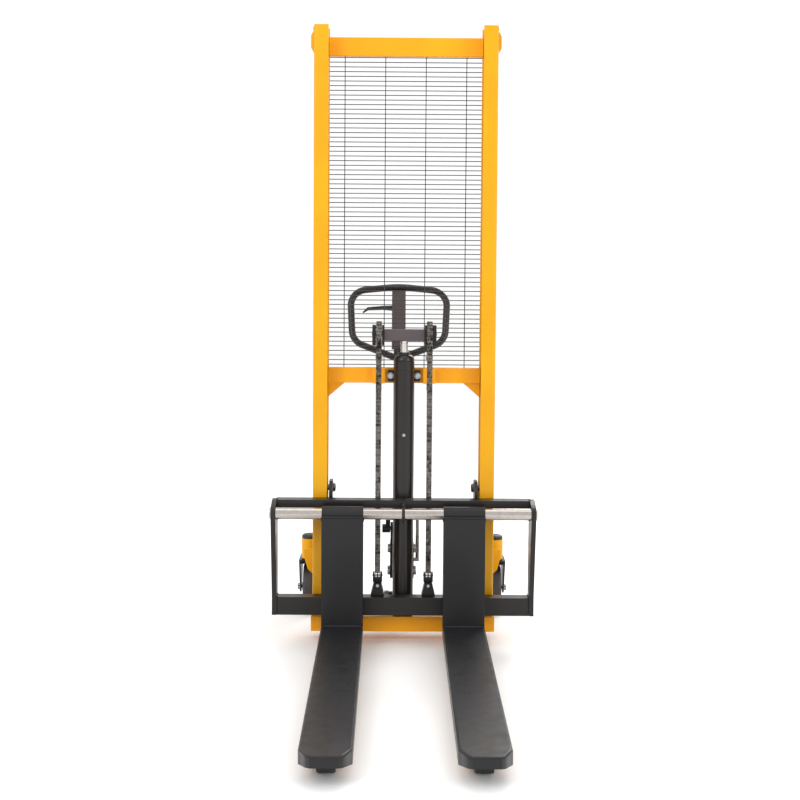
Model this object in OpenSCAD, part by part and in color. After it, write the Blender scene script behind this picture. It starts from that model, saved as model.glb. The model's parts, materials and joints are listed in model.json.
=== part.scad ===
/* [Mast] */
// Height of the mast with the forks down
mast_height = 2080; // [1900:10:2500]
// Width of the mast over both uprights
mast_width = 615; // [560:5:700]
// Width of an upright's flange
flange_w = 49; // [44:1:60]
// Depth of an upright channel
channel_d = 100; // [92:1:110]
// Thickness of the channel's web and flanges
channel_t = 8; // [6:0.5:9]
// Outer corner radius of the channel
channel_r = 8; // [4:0.5:9]
// Height of the top cross beam
top_beam_h = 63; // [50:1:80]
// Distance from the mast's top down to the top cross beam
top_beam_drop = 31; // [20:1:60]
// Height of the middle cross beam's underside above the floor
mid_beam_z = 877; // [860:1:900]
// Height of the middle cross beam
mid_beam_h = 52; // [46:1:60]
// Thickness of both cross beams
beam_t = 22; // [16:1:24]
// Leg length of the corner gussets
gusset_leg = 48; // [30:1:60]

/* [Guard mesh] */
// Diameter of the mesh wires
wire_d = 3; // [2.5:0.5:5]
// Spacing of the horizontal wires
wire_pitch = 15.85; // [12:0.05:30]
// Spacing of the upright wires
upright_wire_gap = 138; // [100:1:150]

/* [Base] */
// Height of the underside of the base beam above the floor
base_z = 35; // [25:1:40]
// Height of the base beam
base_h = 52; // [45:1:60]
// Wall of the base beam and of the legs
base_t = 6; // [5:0.5:8]
// Width of a leg
leg_w = 64; // [58:1:70]
// Height of a leg's top above the floor
leg_top = 72; // [68:1:73]
// Height of a leg channel
leg_h = 50; // [40:1:55]

/* [Forks and carriage] */
// Length of a fork blade from its heel
fork_len = 1150; // [900:10:1250]
// Width of a fork
fork_w = 138; // [130:1:160]
// Distance between the middle lines of the forks
fork_gap = 404; // [380:2:440]
// Height of the fork's top above the floor, lowered
fork_top = 85; // [85:1:92]
// Depth of the fork's side flanges
fork_side_h = 42; // [36:1:50]
// Thickness of the fork plate
fork_t = 8; // [6:0.5:8]
// Length of the chrome shaft that carries the forks
shaft_len = 892; // [860:2:960]
// Diameter of that shaft
shaft_d = 40; // [30:1:42]
// Height of the shaft above the floor
shaft_z = 457; // [440:1:466]
// Height of the carriage's lower beam above the floor
low_beam_z = 105; // [100:1:115]
// Height of the lower beam
low_beam_h = 61; // [50:1:66]
// Height of the carriage's top beam
carr_beam_h = 66; // [50:1:70]

/* [Hydraulics] */
// Outer diameter of the lift cylinder
cyl_d = 70; // [60:1:72]
// Diameter of the ram
ram_d = 25; // [20:1:30]
// Height of the cylinder's top, gland included
cyl_top = 985; // [960:1:1000]
// Pitch radius of the chain sheaves
sheave_r = 35; // [33:1:37]
// Distance from the middle line to each chain
chain_x = 86; // [84:1:110]
// Overall width of the lift chain
chain_w = 19; // [12:0.5:20]
// Plate height of the lift chain
chain_h = 13; // [8:0.1:14]

/* [Wheels] */
// Diameter of the front load rollers
roller_d = 74; // [66:1:74]
// Length of a front load roller
roller_w = 50; // [44:1:51]
// Diameter of the rear caster wheels
wheel_d = 180; // [160:1:180]
// Width of a caster wheel
wheel_w = 46; // [40:1:50]
// Trail of a caster
caster_trail = 45; // [35:1:48]
// Distance from the middle line to a caster's kingpin
caster_x = 338; // [330:1:360]
// Distance from the mast's front face back to the kingpins
caster_y = 345; // [335:1:380]

/* [Handle] */
// Lean of the handle at rest, in degrees
handle_lean = 18; // [10:1:22]
// Distance from the handle's pivot to the loop's top
handle_reach = 892; // [800:1:950]
// Half width of the loop at its widest
loop_half = 188; // [160:1:200]
// Diameter of the loop's tube
loop_d = 25; // [18:1:26]
// Offset of the handle from the middle line
handle_x = -18; // [-24:1:24]

/* [Hidden] */
$fn = 48;
run_fit = 0.05;          // radial clearance of a pin or shaft that turns
seat_gap = 0.3;          // gap between curved faces that don't touch
bolt_fit = 0.2;          // radial clearance round a bolt

mast_half = mast_width / 2;
throat_half = mast_half - flange_w;
beam_y = channel_d - beam_t;
base_top = base_z + base_h;
top_beam_z = mast_height - top_beam_drop - top_beam_h;
lug_t = 11;
lug_h = 80;

carr_gap = 10;           // from the carriage's back to the mast's front face
carr_d = 48;             // depth of the carriage beams
carr_front = -carr_gap - carr_d;
shaft_y = carr_front - 32;
sleeve_r = 25;
heel_drop = 32;          // from the shaft forward to the front of the shanks
end_plate_t = 16;
end_half = shaft_len / 2 - 6;
carr_half = end_half - end_plate_t;
carr_top = shaft_z + 39;
carr_beam_z = carr_top - carr_beam_h;
side_plate_t = 12;
side_plate_x = throat_half - 6.5 - side_plate_t;
side_plate_top = carr_top + 52;

mast_roller_d = channel_d - 2 * channel_t - 2;
mast_roller_w = flange_w - channel_t - 7;
mast_roller_x = mast_half - channel_t - 3 - mast_roller_w;
mast_roller_pin_d = 20;
mast_roller_zs = [low_beam_z + 45, carr_top + 24];

heel_y = shaft_y - heel_drop;
tip_y = heel_y - fork_len + 2;
roller_y = tip_y + 120;
fork_x = fork_gap / 2;
nose_len = 60;           // length of a blade's tapered nose
nose_in = 22;            // how far its sides come in
nose_flat = 33;          // from the blade's side to the flat tip
nose_fall = 9;           // depth of the corners beside the flat tip
nose_rise = 12;          // how far the underside rises to the tip

cyl_y = 33;
block_top = base_top + 38;
cyl_wall = 10;
gland_h = 27;
cross_h = 39;
cross_z = sheave_z() - 25;
cross_half = chain_x - chain_w / 2 - 7;
anchor_y = cyl_y + 2 + sheave_r;
chain_y = anchor_y - 2 * sheave_r;
sheave_y = anchor_y - sheave_r;
cheek_t = 6;
cheek_x = chain_x + chain_w / 2 + 1;
prong_x = chain_w / 2 + 0.5;
prong_t = 6;
front_anchor_z = low_beam_z + low_beam_h + 56;
rear_anchor_z = mid_beam_z + mid_beam_h + 46;

pivot_y = 140;
pivot_z = 360;
pivot_d = 16;
cam_arm = 35;
cam_drop = 8;
cam_r = 10;
plunger_d = 22;
arm_r = 18;
arm_bore_r = 14;
pump_x = -3;
pump_top = 308;
plunger_y = pivot_y + cam_arm;

head_r = 29;
head_z = 208;
head_h = 73;
kingpin_d = 20;
crown_z = head_z - seat_gap;
leg_plate_t = 5;
leg_plate_x = wheel_w / 2 + 9;
brake_y = 130;           // from the kingpin back to the brake's pivot
brake_z = 160;
brake_reach = 170;       // from the kingpin back to the end of the brake pedal
rear_reach = caster_y + brake_reach;
mast_y = (-tip_y - rear_reach) / 2;   // puts the origin in the middle of the length

function sheave_z() = cyl_top + 65;

clamp_bolt_x = cyl_d / 2 + 11;
clamp_z = mid_beam_z + mid_beam_h / 2;
clamp_bolt_d = 12;
anchor_rod_d = 12;
anchor_box_half = 21;
anchor_box_y = anchor_y - 14;
anchor_z0 = low_beam_z + low_beam_h;
sheave_pin_d = 16;

mesh_y = channel_d + wire_d / 2 + 0.1;
mesh_z0 = mid_beam_z + mid_beam_h + 9;
wire_count = floor((top_beam_z - mesh_z0) / wire_pitch);

axle_d = 17;
cheek_z = 14;            // underside of the roller cheeks above the floor
leg_end_y = roller_y + roller_d / 2 + 12;

arm_x0 = throat_half + 4;
arm_x1 = arm_x0 + 50;
arm_z1 = head_z + 58;
guard_y = caster_y - caster_trail - wheel_d / 2 + 18;

loop_top = handle_reach - loop_d / 2;
loop_side = loop_half - loop_d / 2;
arm_end = loop_top - 236;
crown_r = 400;           // bend radius across the loop's top
crown_fall = 18;         // how far the loop's top falls to its corners
crown_drop = crown_r * (1 / cos(atan(crown_fall / (loop_side + 2))) - 1);
loop_right = [[0, arm_end - 34], [loop_side - 8, loop_top - 206], [loop_side + 2, loop_top - crown_fall]];
loop_left = [for (i = [2:-1:0]) [-loop_right[i][0], loop_right[i][1]]];
loop_path = concat(loop_right, [[0, loop_top]], loop_left);
loop_bends = [0, 62, 58, crown_r, 58, 62, 0];
lever_s = loop_top - 80;
rod_side_x = 52;
rod_side_y = 196;
pedal_y = 150;
pedal_z = 106;

yellow = "#fdbe05";
black = "#33312f";
plum = "#706164";
steel = "#b9bcc0";

// ---- helpers ----

// Everything is drawn from the mast's front face and then moved to the part's origin
module at_mast() translate([0, mast_y, 0]) children();

// A child drawn for the right side, put on the side s (1 right, -1 left)
module on_side(s) if (s > 0) children(); else mirror([1, 0, 0]) children();

module both_sides() for (s = [-1, 1]) on_side(s) children();

// A cylinder along X from x0 to x1
module rod_x(r, x0, x1) translate([x0, 0, 0]) rotate([0, 90, 0]) cylinder(r = r, h = x1 - x0);

// A cylinder along Y from y0 to y1
module rod_y(r, y0, y1) translate([0, y0, 0]) rotate([-90, 0, 0]) cylinder(r = r, h = y1 - y0);

// A plate cut from a Y-Z outline, from x0 to x1
module plate_yz(points, x0, x1)
    translate([x0, 0, 0]) rotate([90, 0, 90]) linear_extrude(x1 - x0) polygon(points);

// A plate cut from an X-Z outline, from y0 to y1
module plate_xz(points, y0, y1)
    translate([0, y1, 0]) rotate([90, 0, 0]) linear_extrude(y1 - y0) polygon(points);

module block(x0, x1, y0, y1, z0, z1) translate([x0, y0, z0]) cube([x1 - x0, y1 - y0, z1 - z0]);

// A hexagon head or nut along Y
module hex_y(flats, y0, y1)
    translate([0, y0, 0]) rotate([-90, 0, 0]) cylinder(d = flats / cos(30), h = y1 - y0, $fn = 6);

// A hexagon head or nut along X
module hex_x(flats, x0, x1)
    translate([x0, 0, 0]) rotate([0, 90, 0]) cylinder(d = flats / cos(30), h = x1 - x0, $fn = 6);

// A hexagon nut along Z
module hex_z(flats, z0, z1) translate([0, 0, z0]) cylinder(d = flats / cos(30), h = z1 - z0, $fn = 6);

function unit(v) = v / norm(v);

// Tangent length and bend centre at corner b of the path a, b, c with bend radius r
function half_angle(a, b, c) = acos(unit(a - b) * unit(c - b)) / 2;
function bend_len(a, b, c, r) = r / tan(half_angle(a, b, c));
function bend_centre(a, b, c, r) = b + unit(unit(a - b) + unit(c - b)) * r / sin(half_angle(a, b, c));

// Points round the bend at corner b, from the leg a-b to the leg b-c
function bend_arc(a, b, c, r, steps) =
    let (centre = bend_centre(a, b, c, r), trim = bend_len(a, b, c, r),
        first = b + unit(a - b) * trim - centre, last = b + unit(c - b) * trim - centre,
        turn = 180 - 2 * half_angle(a, b, c),
        way = first[0] * last[1] - first[1] * last[0] > 0 ? 1 : -1,
        start = atan2(first[1], first[0]))
    [for (i = [0:steps]) centre + r * [cos(start + way * turn * i / steps), sin(start + way * turn * i / steps)]];

// The middle line of a bar bent along a flat path
function bent_line(path, radii, steps) = concat([path[0]],
    [for (i = [1:len(path) - 2]) each bend_arc(path[i - 1], path[i], path[i + 1], radii[i], steps)],
    [path[len(path) - 1]]);

// A round bar of radius tube_r along a flat path, bent at each inner point
module bent_bar(path, radii, tube_r, steps = 6, sides = 16) {
    line = bent_line(path, radii, steps);
    n = len(line);
    heading = [for (i = [0:n - 1]) unit(line[min(i + 1, n - 1)] - line[max(i - 1, 0)])];
    rings = [for (i = [0:n - 1]) for (k = [0:sides - 1])
        let (out = tube_r * cos(360 * k / sides), up = tube_r * sin(360 * k / sides))
        [line[i][0] + heading[i][1] * out, line[i][1] - heading[i][0] * out, up]];
    walls = [for (i = [0:n - 2]) for (k = [0:sides - 1])
        [i * sides + k, i * sides + (k + 1) % sides, (i + 1) * sides + (k + 1) % sides, (i + 1) * sides + k]];
    first_end = [for (k = [sides - 1:-1:0]) k];
    last_end = [for (k = [0:sides - 1]) (n - 1) * sides + k];
    polyhedron(rings, concat(walls, [first_end], [last_end]));
}

// ---- mast ----

module channel_outline() {
    r = channel_r;
    difference() {
        union() {
            square([flange_w - r, channel_d]);
            translate([0, r]) square([flange_w, channel_d - 2 * r]);
            for (y = [r, channel_d - r]) translate([flange_w - r, y]) circle(r);
        }
        translate([-1, channel_t]) square([flange_w - channel_t + 1, channel_d - 2 * channel_t]);
    }
}

// Outside of each upright, near the top: a pressed steel lug with slanted ends
module side_lug() {
    z1 = mast_height - 14;
    z0 = z1 - lug_h;
    slant = 20;
    plate_xz([[mast_half, z0], [mast_half + lug_t, z0 + slant], [mast_half + lug_t, z1 - slant],
        [mast_half, z1]], 22, 66);
}

module mast_upright(s) color(yellow) at_mast() on_side(s) {
    translate([throat_half, 0, base_top]) linear_extrude(mast_height - base_top) channel_outline();
    side_lug();
}

module mast_top_beam() color(yellow) at_mast()
    block(-throat_half, throat_half, beam_y, channel_d, top_beam_z, top_beam_z + top_beam_h);

module mast_mid_beam() color(yellow) at_mast() difference() {
    union() {
        block(-throat_half, throat_half, beam_y, channel_d, mid_beam_z, mid_beam_z + mid_beam_h);
        both_sides() block(chain_x - anchor_box_half, chain_x + anchor_box_half, anchor_box_y, beam_y,
            mid_beam_z, mid_beam_z + mid_beam_h);
    }
    for (s = [-1, 1]) {
        translate([s * clamp_bolt_x, 0, clamp_z]) rod_y(clamp_bolt_d / 2 + bolt_fit, beam_y - 1, channel_d + 1);
        translate([s * chain_x, anchor_y, mid_beam_z - 1])
            cylinder(r = anchor_rod_d / 2 + bolt_fit, h = mid_beam_h + 2);
    }
}

module mast_gussets() color(yellow) at_mast() both_sides()
    plate_xz([[throat_half, mid_beam_z], [throat_half, mid_beam_z - gusset_leg],
        [throat_half - gusset_leg - 8, mid_beam_z]], beam_y + 6, beam_y + 14);

// ---- guard mesh ----

module guard_mesh() color(steel) at_mast() {
    half = throat_half + flange_w / 2;
    for (i = [0:wire_count]) translate([0, mesh_y, mesh_z0 + i * wire_pitch])
        rod_x(wire_d / 2, -half, half);
    for (x = [-1.5, -0.5, 0.5, 1.5]) translate([x * upright_wire_gap, mesh_y + wire_d + 0.1, mid_beam_z + 12])
        cylinder(d = wire_d, h = top_beam_z + 32 - mid_beam_z - 12);
}

// ---- base ----

module base_beam() color(yellow) at_mast() difference() {
    half = mast_half + 5;
    block(-half, half, -5, channel_d + 5, base_z, base_top);
    block(-half + base_t, half - base_t, -5 + base_t, channel_d + 5 - base_t, base_z - 1, base_top - base_t);
}

module base_leg(s) color(yellow) at_mast() translate([s * fork_x, 0, 0]) difference() {
    half = leg_w / 2;
    z0 = leg_top - leg_h;
    nose_y = roller_y - 30;
    union() {
        block(-half, half, leg_end_y, -5, z0, leg_top);
        both_sides() plate_yz([[leg_end_y + 40, cheek_z], [leg_end_y + 40, leg_top], [nose_y + 20, leg_top],
            [nose_y, leg_top - 20], [nose_y, cheek_z + 14], [nose_y + 14, cheek_z]], half - base_t, half);
    }
    block(-half + base_t, half - base_t, leg_end_y - 1, -5 + 1, z0 - 1, leg_top - base_t);
    translate([0, roller_y, roller_d / 2]) rod_x(axle_d / 2 + bolt_fit, -half - 1, half + 1);
}

module front_axles() color(steel) at_mast()
    for (s = [-1, 1]) translate([s * fork_x, roller_y, roller_d / 2]) rod_x(axle_d / 2, -leg_w / 2, leg_w / 2);

module front_roller(s) color("#4a4744") at_mast() translate([s * fork_x, roller_y, roller_d / 2]) difference() {
    union() {
        rod_x(roller_d / 2, -roller_w / 2 + 2, roller_w / 2 - 2);
        rod_x(roller_d / 2 - 2, -roller_w / 2, roller_w / 2);
    }
    rod_x(axle_d / 2 + run_fit, -roller_w, roller_w);
}

// ---- caster arms, welded to the uprights ----

module caster_arm(s) color(yellow) at_mast() on_side(s) difference() {
    union() {
        block(arm_x0, arm_x1, channel_d, caster_y, head_z, arm_z1);
        translate([caster_x, caster_y, head_z]) cylinder(r = head_r, h = head_h);
        block(arm_x0, caster_x, caster_y - 24, caster_y + 24, head_z, arm_z1);
        translate([0, guard_y + 6, 0]) rotate([90, 0, 0]) linear_extrude(6) {
            polygon([[arm_x0, 178], [caster_x - 16, 178], [caster_x, 194], [caster_x + 12, 236],
                [caster_x + 12, arm_z1], [arm_x0, arm_z1]]);
        }
    }
    translate([caster_x, caster_y, head_z - 1]) cylinder(r = kingpin_d / 2 + run_fit, h = head_h + 2);
}

module caster_caps() color(black) at_mast() both_sides() translate([caster_x, caster_y, head_z + head_h]) {
    cylinder(r = head_r - 1, h = 10);
    translate([0, 0, 10]) cylinder(r1 = head_r - 1, r2 = head_r - 9, h = 6);
}

// ---- lift cylinder ----

module lift_cylinder() color(black) at_mast() translate([0, cyl_y, 0]) difference() {
    translate([0, 0, block_top]) cylinder(d = cyl_d, h = cyl_top - gland_h - block_top);
    translate([0, 0, block_top + 14]) cylinder(r = cyl_d / 2 - cyl_wall, h = cyl_top);
}

module cylinder_gland() color(black) at_mast() translate([0, cyl_y, cyl_top - gland_h]) difference() {
    union() {
        cylinder(r1 = cyl_d / 2, r2 = ram_d / 2 + 8, h = gland_h - 6);
        translate([0, 0, gland_h - 6]) cylinder(r = ram_d / 2 + 8, h = 6);
    }
    translate([0, 0, -1]) cylinder(r = ram_d / 2 + run_fit, h = gland_h + 2);
}

module cylinder_clamp() color(black) at_mast() difference() {
    block(-clamp_bolt_x - 9, clamp_bolt_x + 9, beam_y - 14, beam_y, clamp_z - 19, clamp_z + 19);
    translate([0, cyl_y, clamp_z - 20]) cylinder(r = cyl_d / 2 + seat_gap, h = 40);
    for (s = [-1, 1]) translate([s * clamp_bolt_x, 0, clamp_z])
        rod_y(clamp_bolt_d / 2 + bolt_fit, beam_y - 15, beam_y + 1);
}

module clamp_bolts() color(steel) at_mast() for (s = [-1, 1]) translate([s * clamp_bolt_x, 0, clamp_z]) {
    hex_y(18, beam_y - 22, beam_y - 14);
    rod_y(clamp_bolt_d / 2, beam_y - 14, channel_d + 14);
    hex_y(18, channel_d, channel_d + 10);
}

module bleed_screw() color(steel) at_mast() translate([0, cyl_y - cyl_d / 2, 708]) hex_y(8, -4, -0.05);

module hydraulic_block() color(black) at_mast() {
    block(-33, 33, cyl_y - cyl_d / 2, 168, base_top, block_top);
    translate([0, pedal_y, pedal_z]) rod_x(7, -76, -33);
}

module pump_body() color(black) at_mast() difference() {
    union() {
        translate([pump_x, 122, block_top]) cylinder(d = 58, h = 200 - block_top);
        block(pump_x - 41, pump_x + 41, 74, 200, 200, pump_top);
        for (s = [-1, 1]) translate([handle_x, 0, 0]) on_side(s) {
            translate([0, pivot_y, pivot_z]) rod_x(22, 14, 25);
            block(14, 25, pivot_y - 22, pivot_y + 22, pump_top - 1, pivot_z);
        }
    }
    translate([handle_x, pivot_y, pivot_z]) rod_x(pivot_d / 2 + run_fit, -30, 30);
    translate([handle_x, plunger_y, 225]) cylinder(r = plunger_d / 2 + run_fit, h = 100);
}

module pump_bolts() color(steel) at_mast() for (z = [215, 293]) for (y = [100, 160])
    translate([pump_x, y, z]) both_sides() hex_x(16, 41, 50);

module handle_pivot_pin() color(steel) at_mast()
    translate([handle_x, pivot_y, pivot_z]) rod_x(pivot_d / 2, -54, 54);

// ---- chains and ram ----

module rear_chain_anchors() color(steel) at_mast() for (s = [-1, 1]) translate([s * chain_x, anchor_y, 0]) {
    translate([0, 0, mid_beam_z - 34]) cylinder(d = anchor_rod_d, h = mid_beam_h + 34 + 26);
    block(-12, 12, -7, 7, mid_beam_z + mid_beam_h + 24, rear_anchor_z);
    hex_z(20, mid_beam_z - 11, mid_beam_z);
    hex_z(20, mid_beam_z - 23, mid_beam_z - 12);
}

module chain_bar(y, z0, z1) for (s = [-1, 1]) translate([s * chain_x, y, 0])
    block(-chain_w / 2, chain_w / 2, -chain_h / 2, chain_h / 2, z0, z1);

module chain_rear() color("#3b3a3c") at_mast() chain_bar(anchor_y, rear_anchor_z, sheave_z());

module chain_front() color("#3b3a3c") at_mast() chain_bar(chain_y, front_anchor_z, sheave_z());

module chain_wraps() color("#3b3a3c") at_mast() for (s = [-1, 1])
    translate([s * chain_x - chain_w / 2, sheave_y, sheave_z()]) rotate([90, 0, 90])
        rotate_extrude(angle = 180) translate([sheave_r - chain_h / 2, 0]) square([chain_h, chain_w]);

module ram() color(steel) at_mast() translate([0, cyl_y, block_top + 20])
    cylinder(d = ram_d, h = cross_z - block_top - 20);

module crosshead() color(plum) at_mast() block(-cross_half, cross_half, cyl_y - 16, cyl_y + 20, cross_z, cross_z + cross_h);

module sheave_cheeks() color(black) at_mast() difference() {
    both_sides() {
        for (cheek = [[cross_half, cheek_t], [cheek_x, 2 * cheek_t]])
            block(cheek[0], cheek[0] + cheek[1], sheave_y - 22, sheave_y + 22, sheave_z() - 40, sheave_z() + 28);
    }
    translate([0, sheave_y, sheave_z()]) rod_x(sheave_pin_d / 2 + bolt_fit, -chain_x - 30, chain_x + 30);
}

module sheave_pins() color(steel) at_mast() both_sides() translate([0, sheave_y, sheave_z()])
    rod_x(sheave_pin_d / 2, cross_half + 0.5, cheek_x + 2 * cheek_t + 2);

module sheave(s) color("#55504d") at_mast() on_side(s) translate([chain_x, sheave_y, sheave_z()]) difference() {
    rod_x(sheave_r - chain_h / 2 - seat_gap, -chain_w / 2, chain_w / 2);
    rod_x(sheave_pin_d / 2 + run_fit, -chain_w, chain_w);
}

// ---- carriage ----

module carriage_top_beam() color(black) at_mast() difference() {
    union() {
        block(-carr_half, carr_half, carr_front, -carr_gap, carr_beam_z, carr_top);
        block(-5, 5, shaft_y - 6, carr_front, shaft_z - 34, shaft_z + 34);
        translate([0, shaft_y, shaft_z]) rod_x(shaft_d / 2 + 8, -5, 5);
    }
    translate([0, shaft_y, shaft_z]) rod_x(shaft_d / 2 + bolt_fit, -10, 10);
}

module carriage_lower_beam() color(black) at_mast()
    block(-carr_half, carr_half, carr_front, -carr_gap, low_beam_z, low_beam_z + low_beam_h);

module carriage_end_plates() color(black) at_mast() both_sides() difference() {
    union() {
        plate_yz([[-carr_gap, low_beam_z], [-carr_gap, carr_top - 8], [-carr_gap - 14, carr_top],
            [carr_front, carr_top], [shaft_y - 14, shaft_z + 22], [shaft_y - 25, shaft_z - 8],
            [carr_front, low_beam_z + low_beam_h], [carr_front, low_beam_z]], carr_half, end_half);
        translate([0, shaft_y, shaft_z]) rod_x(26, carr_half, end_half);
    }
    translate([0, shaft_y, shaft_z]) rod_x(shaft_d / 2 + bolt_fit, carr_half - 1, end_half + 1);
}

module carriage_side_plates() color(black) at_mast() both_sides() difference() {
    plate_yz([[-carr_gap, low_beam_z], [-carr_gap, side_plate_top - 30], [14, side_plate_top],
        [60, side_plate_top], [74, side_plate_top - 14], [74, low_beam_z + 12], [62, low_beam_z]],
        side_plate_x, side_plate_x + side_plate_t);
    for (z = mast_roller_zs) translate([0, channel_d / 2, z])
        rod_x(mast_roller_pin_d / 2 + bolt_fit, side_plate_x - 1, side_plate_x + side_plate_t + 1);
}

module fork_shaft() color(steel) at_mast() translate([0, shaft_y, shaft_z])
    rod_x(shaft_d / 2, -shaft_len / 2, shaft_len / 2);

module roller_pins() color(steel) at_mast() both_sides() for (z = mast_roller_zs)
    translate([0, channel_d / 2, z]) {
        rod_x(15, side_plate_x - 9, side_plate_x);
        rod_x(mast_roller_pin_d / 2, side_plate_x, mast_roller_x + mast_roller_w + 1);
    }

module mast_roller(s, z) color("#57534f") at_mast() on_side(s) translate([0, channel_d / 2, z]) difference() {
    rod_x(mast_roller_d / 2, mast_roller_x, mast_roller_x + mast_roller_w);
    rod_x(mast_roller_pin_d / 2 + run_fit, mast_roller_x - 1, mast_roller_x + mast_roller_w + 1);
}

module front_chain_anchors() color(black) at_mast() for (s = [-1, 1]) translate([s * chain_x, 0, 0]) {
    translate([0, chain_y + 8, 0]) rotate([90, 0, 0]) linear_extrude(chain_y + 32 + carr_gap)
        polygon([[-23, anchor_z0], [23, anchor_z0], [13, anchor_z0 + 42], [-13, anchor_z0 + 42]]);
    block(-prong_x - prong_t, prong_x + prong_t, chain_y - 8, chain_y + 8, anchor_z0 + 41, front_anchor_z);
    for (x = [-prong_x - prong_t, prong_x])
        block(x, x + prong_t, chain_y - 8, chain_y + 8, front_anchor_z - 1, front_anchor_z + 18);
}

// ---- forks ----

module fork_outline(half, nose_y) polygon([[-half, heel_y + 56], [-half, nose_y + nose_len],
    [-half + nose_in, nose_y + nose_fall], [-half + nose_flat, nose_y], [half - nose_flat, nose_y],
    [half - nose_in, nose_y + nose_fall], [half, nose_y + nose_len], [half, heel_y + 56]]);

module fork(s) color(black) at_mast() translate([s * fork_x, 0, 0]) difference() {
    half = fork_w / 2;
    z0 = fork_top - fork_side_h;
    union() {
        difference() {
            translate([0, 0, z0]) linear_extrude(fork_side_h) fork_outline(half, tip_y);
            translate([0, 0, z0 - 1]) linear_extrude(fork_side_h + 1 - fork_t)
                fork_outline(half - fork_t + 1, tip_y + fork_t);
            // the blade is open behind its heel
            block(-half + fork_t - 1, half - fork_t + 1, heel_y, heel_y + 60, z0 - 1, fork_top - fork_t);
            // slanted underside of the nose
            plate_yz([[tip_y - 5, z0 - 1], [tip_y - 5, z0 + nose_rise + 1], [tip_y + nose_len + 5, z0 - 1]],
                -half - 1, half + 1);
        }
        block(-half, half, heel_y, heel_y + 10, fork_top - 1, shaft_z - 9);
        for (x = [-half, half - fork_t]) block(x, x + fork_t, heel_y, heel_y + 56, fork_top - 1, shaft_z - 4);
        translate([0, shaft_y, shaft_z]) rod_x(sleeve_r, -half, half);
    }
    translate([0, shaft_y, shaft_z]) rod_x(shaft_d / 2 + run_fit, -half - 1, half + 1);
}

// ---- casters ----

module caster_fork(s) color(black) at_mast() translate([s * caster_x, caster_y, 0]) difference() {
    z = wheel_d / 2;
    union() {
        translate([0, 0, crown_z - 9]) cylinder(r = head_r, h = 9);
        block(-leg_plate_x - leg_plate_t, leg_plate_x + leg_plate_t, -28, 76, crown_z - 9, crown_z - 3);
        translate([0, 0, crown_z]) cylinder(d = kingpin_d, h = head_h - 4);
        both_sides() {
            plate_yz([[-28, crown_z - 9], [caster_trail - 18, z - 14], [caster_trail + 18, z - 14],
                [brake_y + 6, brake_z - 12], [brake_y + 8, brake_z + 8], [76, crown_z - 24],
                [76, crown_z - 9]], leg_plate_x, leg_plate_x + leg_plate_t);
            translate([0, caster_trail, z]) rod_x(20, leg_plate_x, leg_plate_x + leg_plate_t);
            translate([0, caster_trail, z]) hex_x(19, leg_plate_x + leg_plate_t, leg_plate_x + leg_plate_t + 9);
        }
        translate([0, caster_trail, z]) rod_x(6, -leg_plate_x, leg_plate_x);
    }
}

module caster_wheel(s) color("#3c3b3d") at_mast() translate([s * caster_x, caster_y + caster_trail, wheel_d / 2])
    difference() {
        w = wheel_w / 2;
        union() {
            rod_x(wheel_d / 2, -w + 5, w - 5);
            rod_x(wheel_d / 2 - 5, -w, w);
            rod_x(22, -w - 6, w + 6);
        }
        for (x = [-w - 1, w - 9]) translate([x, 0, 0]) rotate([0, 90, 0]) difference() {
            cylinder(r = wheel_d / 2 - 22, h = 10);
            translate([0, 0, -1]) cylinder(r = 24, h = 12);
        }
        rod_x(6 + run_fit, -w - 8, w + 8);
    }

module caster_brake(s) color(black) at_mast() translate([s * caster_x, caster_y, 0]) {
    half = leg_plate_x - seat_gap;
    translate([0, brake_y, brake_z]) rod_x(7, -half, half);
    translate([0, brake_y + 3, brake_z - 14]) rod_x(8, -16, 16);
    plate_yz([[brake_y, brake_z - 2], [brake_y, brake_z + 6], [brake_reach, brake_z + 12],
        [brake_reach, brake_z + 4]], -24, 24);
}

// ---- handle and pump controls ----

// Draws in the handle's own plane: X across, Y along the arm from the pivot, Z to the front
module in_handle() at_mast() translate([handle_x, pivot_y, pivot_z]) rotate([-handle_lean, 0, 0])
    rotate([90, 0, 0]) children();

module handle_arm() color(black) {
    in_handle() difference() {
        union() {
            translate([0, 44, 0]) rotate([-90, 0, 0]) cylinder(r = arm_r, h = arm_end - 44);
            translate([-42, 30, -15]) cube([84, 16, 30]);
            for (x = [-42, 26]) translate([x, 0, -15]) cube([16, 32, 30]);
            for (s = [-1, 1]) on_side(s) rod_x(15, 26, 54);
            rod_x(13, -12, 12);
            translate([-12, 0, -10]) cube([24, 34, 20]);
        }
        rod_x(pivot_d / 2 + run_fit, -60, 60);
        translate([0, 50, 0]) rotate([-90, 0, 0]) cylinder(r = arm_bore_r, h = arm_end);
    }
    // cam nose that presses the pump plunger
    at_mast() translate([handle_x, pivot_y, pivot_z]) difference() {
        union() {
            translate([0, cam_arm, -cam_drop]) rod_x(cam_r, -12, 12);
            rotate([-atan2(cam_drop, cam_arm), 0, 0]) block(-12, 12, 0, cam_arm, -7, 7);
        }
        rod_x(pivot_d / 2 + run_fit, -60, 60);
    }
}

module handle_loop() color(black) in_handle() difference() {
    bent_bar(loop_path, loop_bends, loop_d / 2);
    translate([0, arm_end - 80, 0]) rotate([-90, 0, 0]) cylinder(r = arm_r + 0.1, h = 90);
}

module handle_plate() color(plum) in_handle()
    translate([-25, arm_end, -2]) cube([50, loop_top - arm_end - loop_d / 2 - crown_drop - 1, 4]);

module release_lever() color(black) in_handle() {
    translate([0, lever_s, -2 - seat_gap - 8]) {
        cylinder(r = 12, h = 8);
        linear_extrude(7) polygon([[4, -11], [-60, -6], [-112, -8], [-130, -19], [-132, -15], [-114, 3],
            [-60, 8], [4, 11]]);
    }
}

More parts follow.
